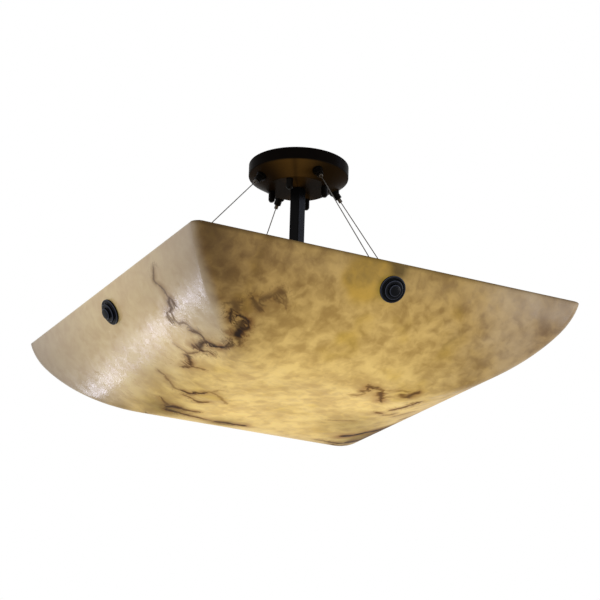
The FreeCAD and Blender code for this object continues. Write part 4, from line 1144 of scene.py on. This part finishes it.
def seen_ray(tree):
    """One for a ray from the camera, a reflection or clear glass, and nought for any other."""
    seen = add(tree, "LightPath", {}, "Is Camera Ray")
    for ray in ("Is Glossy Ray", "Is Transmission Ray"):
        also = add(tree, "LightPath", {}, ray)
        seen = add(tree, "Math", {0: seen, 1: also}, operation="MAXIMUM")
    return seen


def stage_floor():
    """A plain square, pale to the camera and in reflections."""
    mesh = bpy.data.meshes.new("floor")
    reach, level = 30.0, -4.8
    corners = ((-reach, -reach), (reach, -reach), (reach, reach), (-reach, reach))
    mesh.from_pydata([(*corner, level) for corner in corners], [], [(0, 1, 2, 3)])
    material = finish("pale_floor", "#e6e4e0", "#eae8e4", 400, 5, 0.1, Roughness=0.9)
    tree, shader = opened(material)
    shader.inputs["Emission Color"].default_value = (0.42, 0.42, 0.41, 1)
    tree.links.new(seen_ray(tree), shader.inputs["Emission Strength"])
    mesh.materials.append(material)
    floor = bpy.data.objects.new("floor", mesh)
    bpy.context.scene.collection.objects.link(floor)


def soft_light(name, place, aim, size, power, shade="#ffffff", card=False):
    """An area light at a place, turned to an aim. A card shows in gloss only."""
    light = bpy.data.lights.new(name, "AREA")
    light.shape = "RECTANGLE"
    light.size, light.size_y = size
    light.energy = power
    light.color = colour(shade)[:3]
    made = bpy.data.objects.new(name, light)
    made.location = place
    made.rotation_euler = (Vector(aim) - Vector(place)).to_track_quat("-Z", "Y").to_euler()
    made.visible_diffuse = not card
    bpy.context.scene.collection.objects.link(made)


stage_floor()
soft_light("left_box", (-3.2, -0.6, -0.6), (0, 0, -0.3), (2.4, 2.4), 20)
soft_light("right_box", (2.4, -2.2, -1.2), (0.2, 0, -0.3), (1.6, 1.6), 40)
soft_light(
    "low_back_box",
    place=(-0.96, 2.04, -1.35),
    aim=(-0.26, -0.13, -0.33),
    size=(1.1, 0.14),
    power=4.8,
    shade="#e6e9ff",
    card=True,
)
soft_light(
    "cool_strip",
    place=(2.8, -0.57, 0.6),
    aim=(0, 0, -0.15),
    size=(0.3, 1.6),
    power=12,
    shade="#b9c4e6",
    card=True,
)

world = bpy.data.worlds.new("white_surround")
bpy.context.scene.world = world
world.use_nodes = True
world_tree = world.node_tree
# White to the camera and in reflections, and half as strong where it lights the object.
strength = add(
    world_tree, "MapRange", {"Value": seen_ray(world_tree), "To Min": 0.5, "To Max": 1.0}
)
world_tree.links.new(strength, world_tree.nodes["Background"].inputs["Strength"])
world_tree.nodes["Background"].inputs["Color"].default_value = (1, 1, 1, 1)

# The camera that matches the photograph, as the bowl's veins use it.
camera_data = bpy.data.cameras.new("camera")
camera_data.sensor_width = LENS["sensor"]
camera_data.lens = LENS["length"]
camera_data.shift_x = LENS["shift_x"]
camera_data.shift_y = LENS["shift_y"]
camera_data.clip_end = 100.0
camera = bpy.data.objects.new("camera", camera_data)
camera.location = CAMERA_PLACE
camera.rotation_euler = camera_turn.to_euler()
bpy.context.scene.collection.objects.link(camera)
bpy.context.scene.camera = camera
bpy.context.scene.view_settings.view_transform = "Standard"
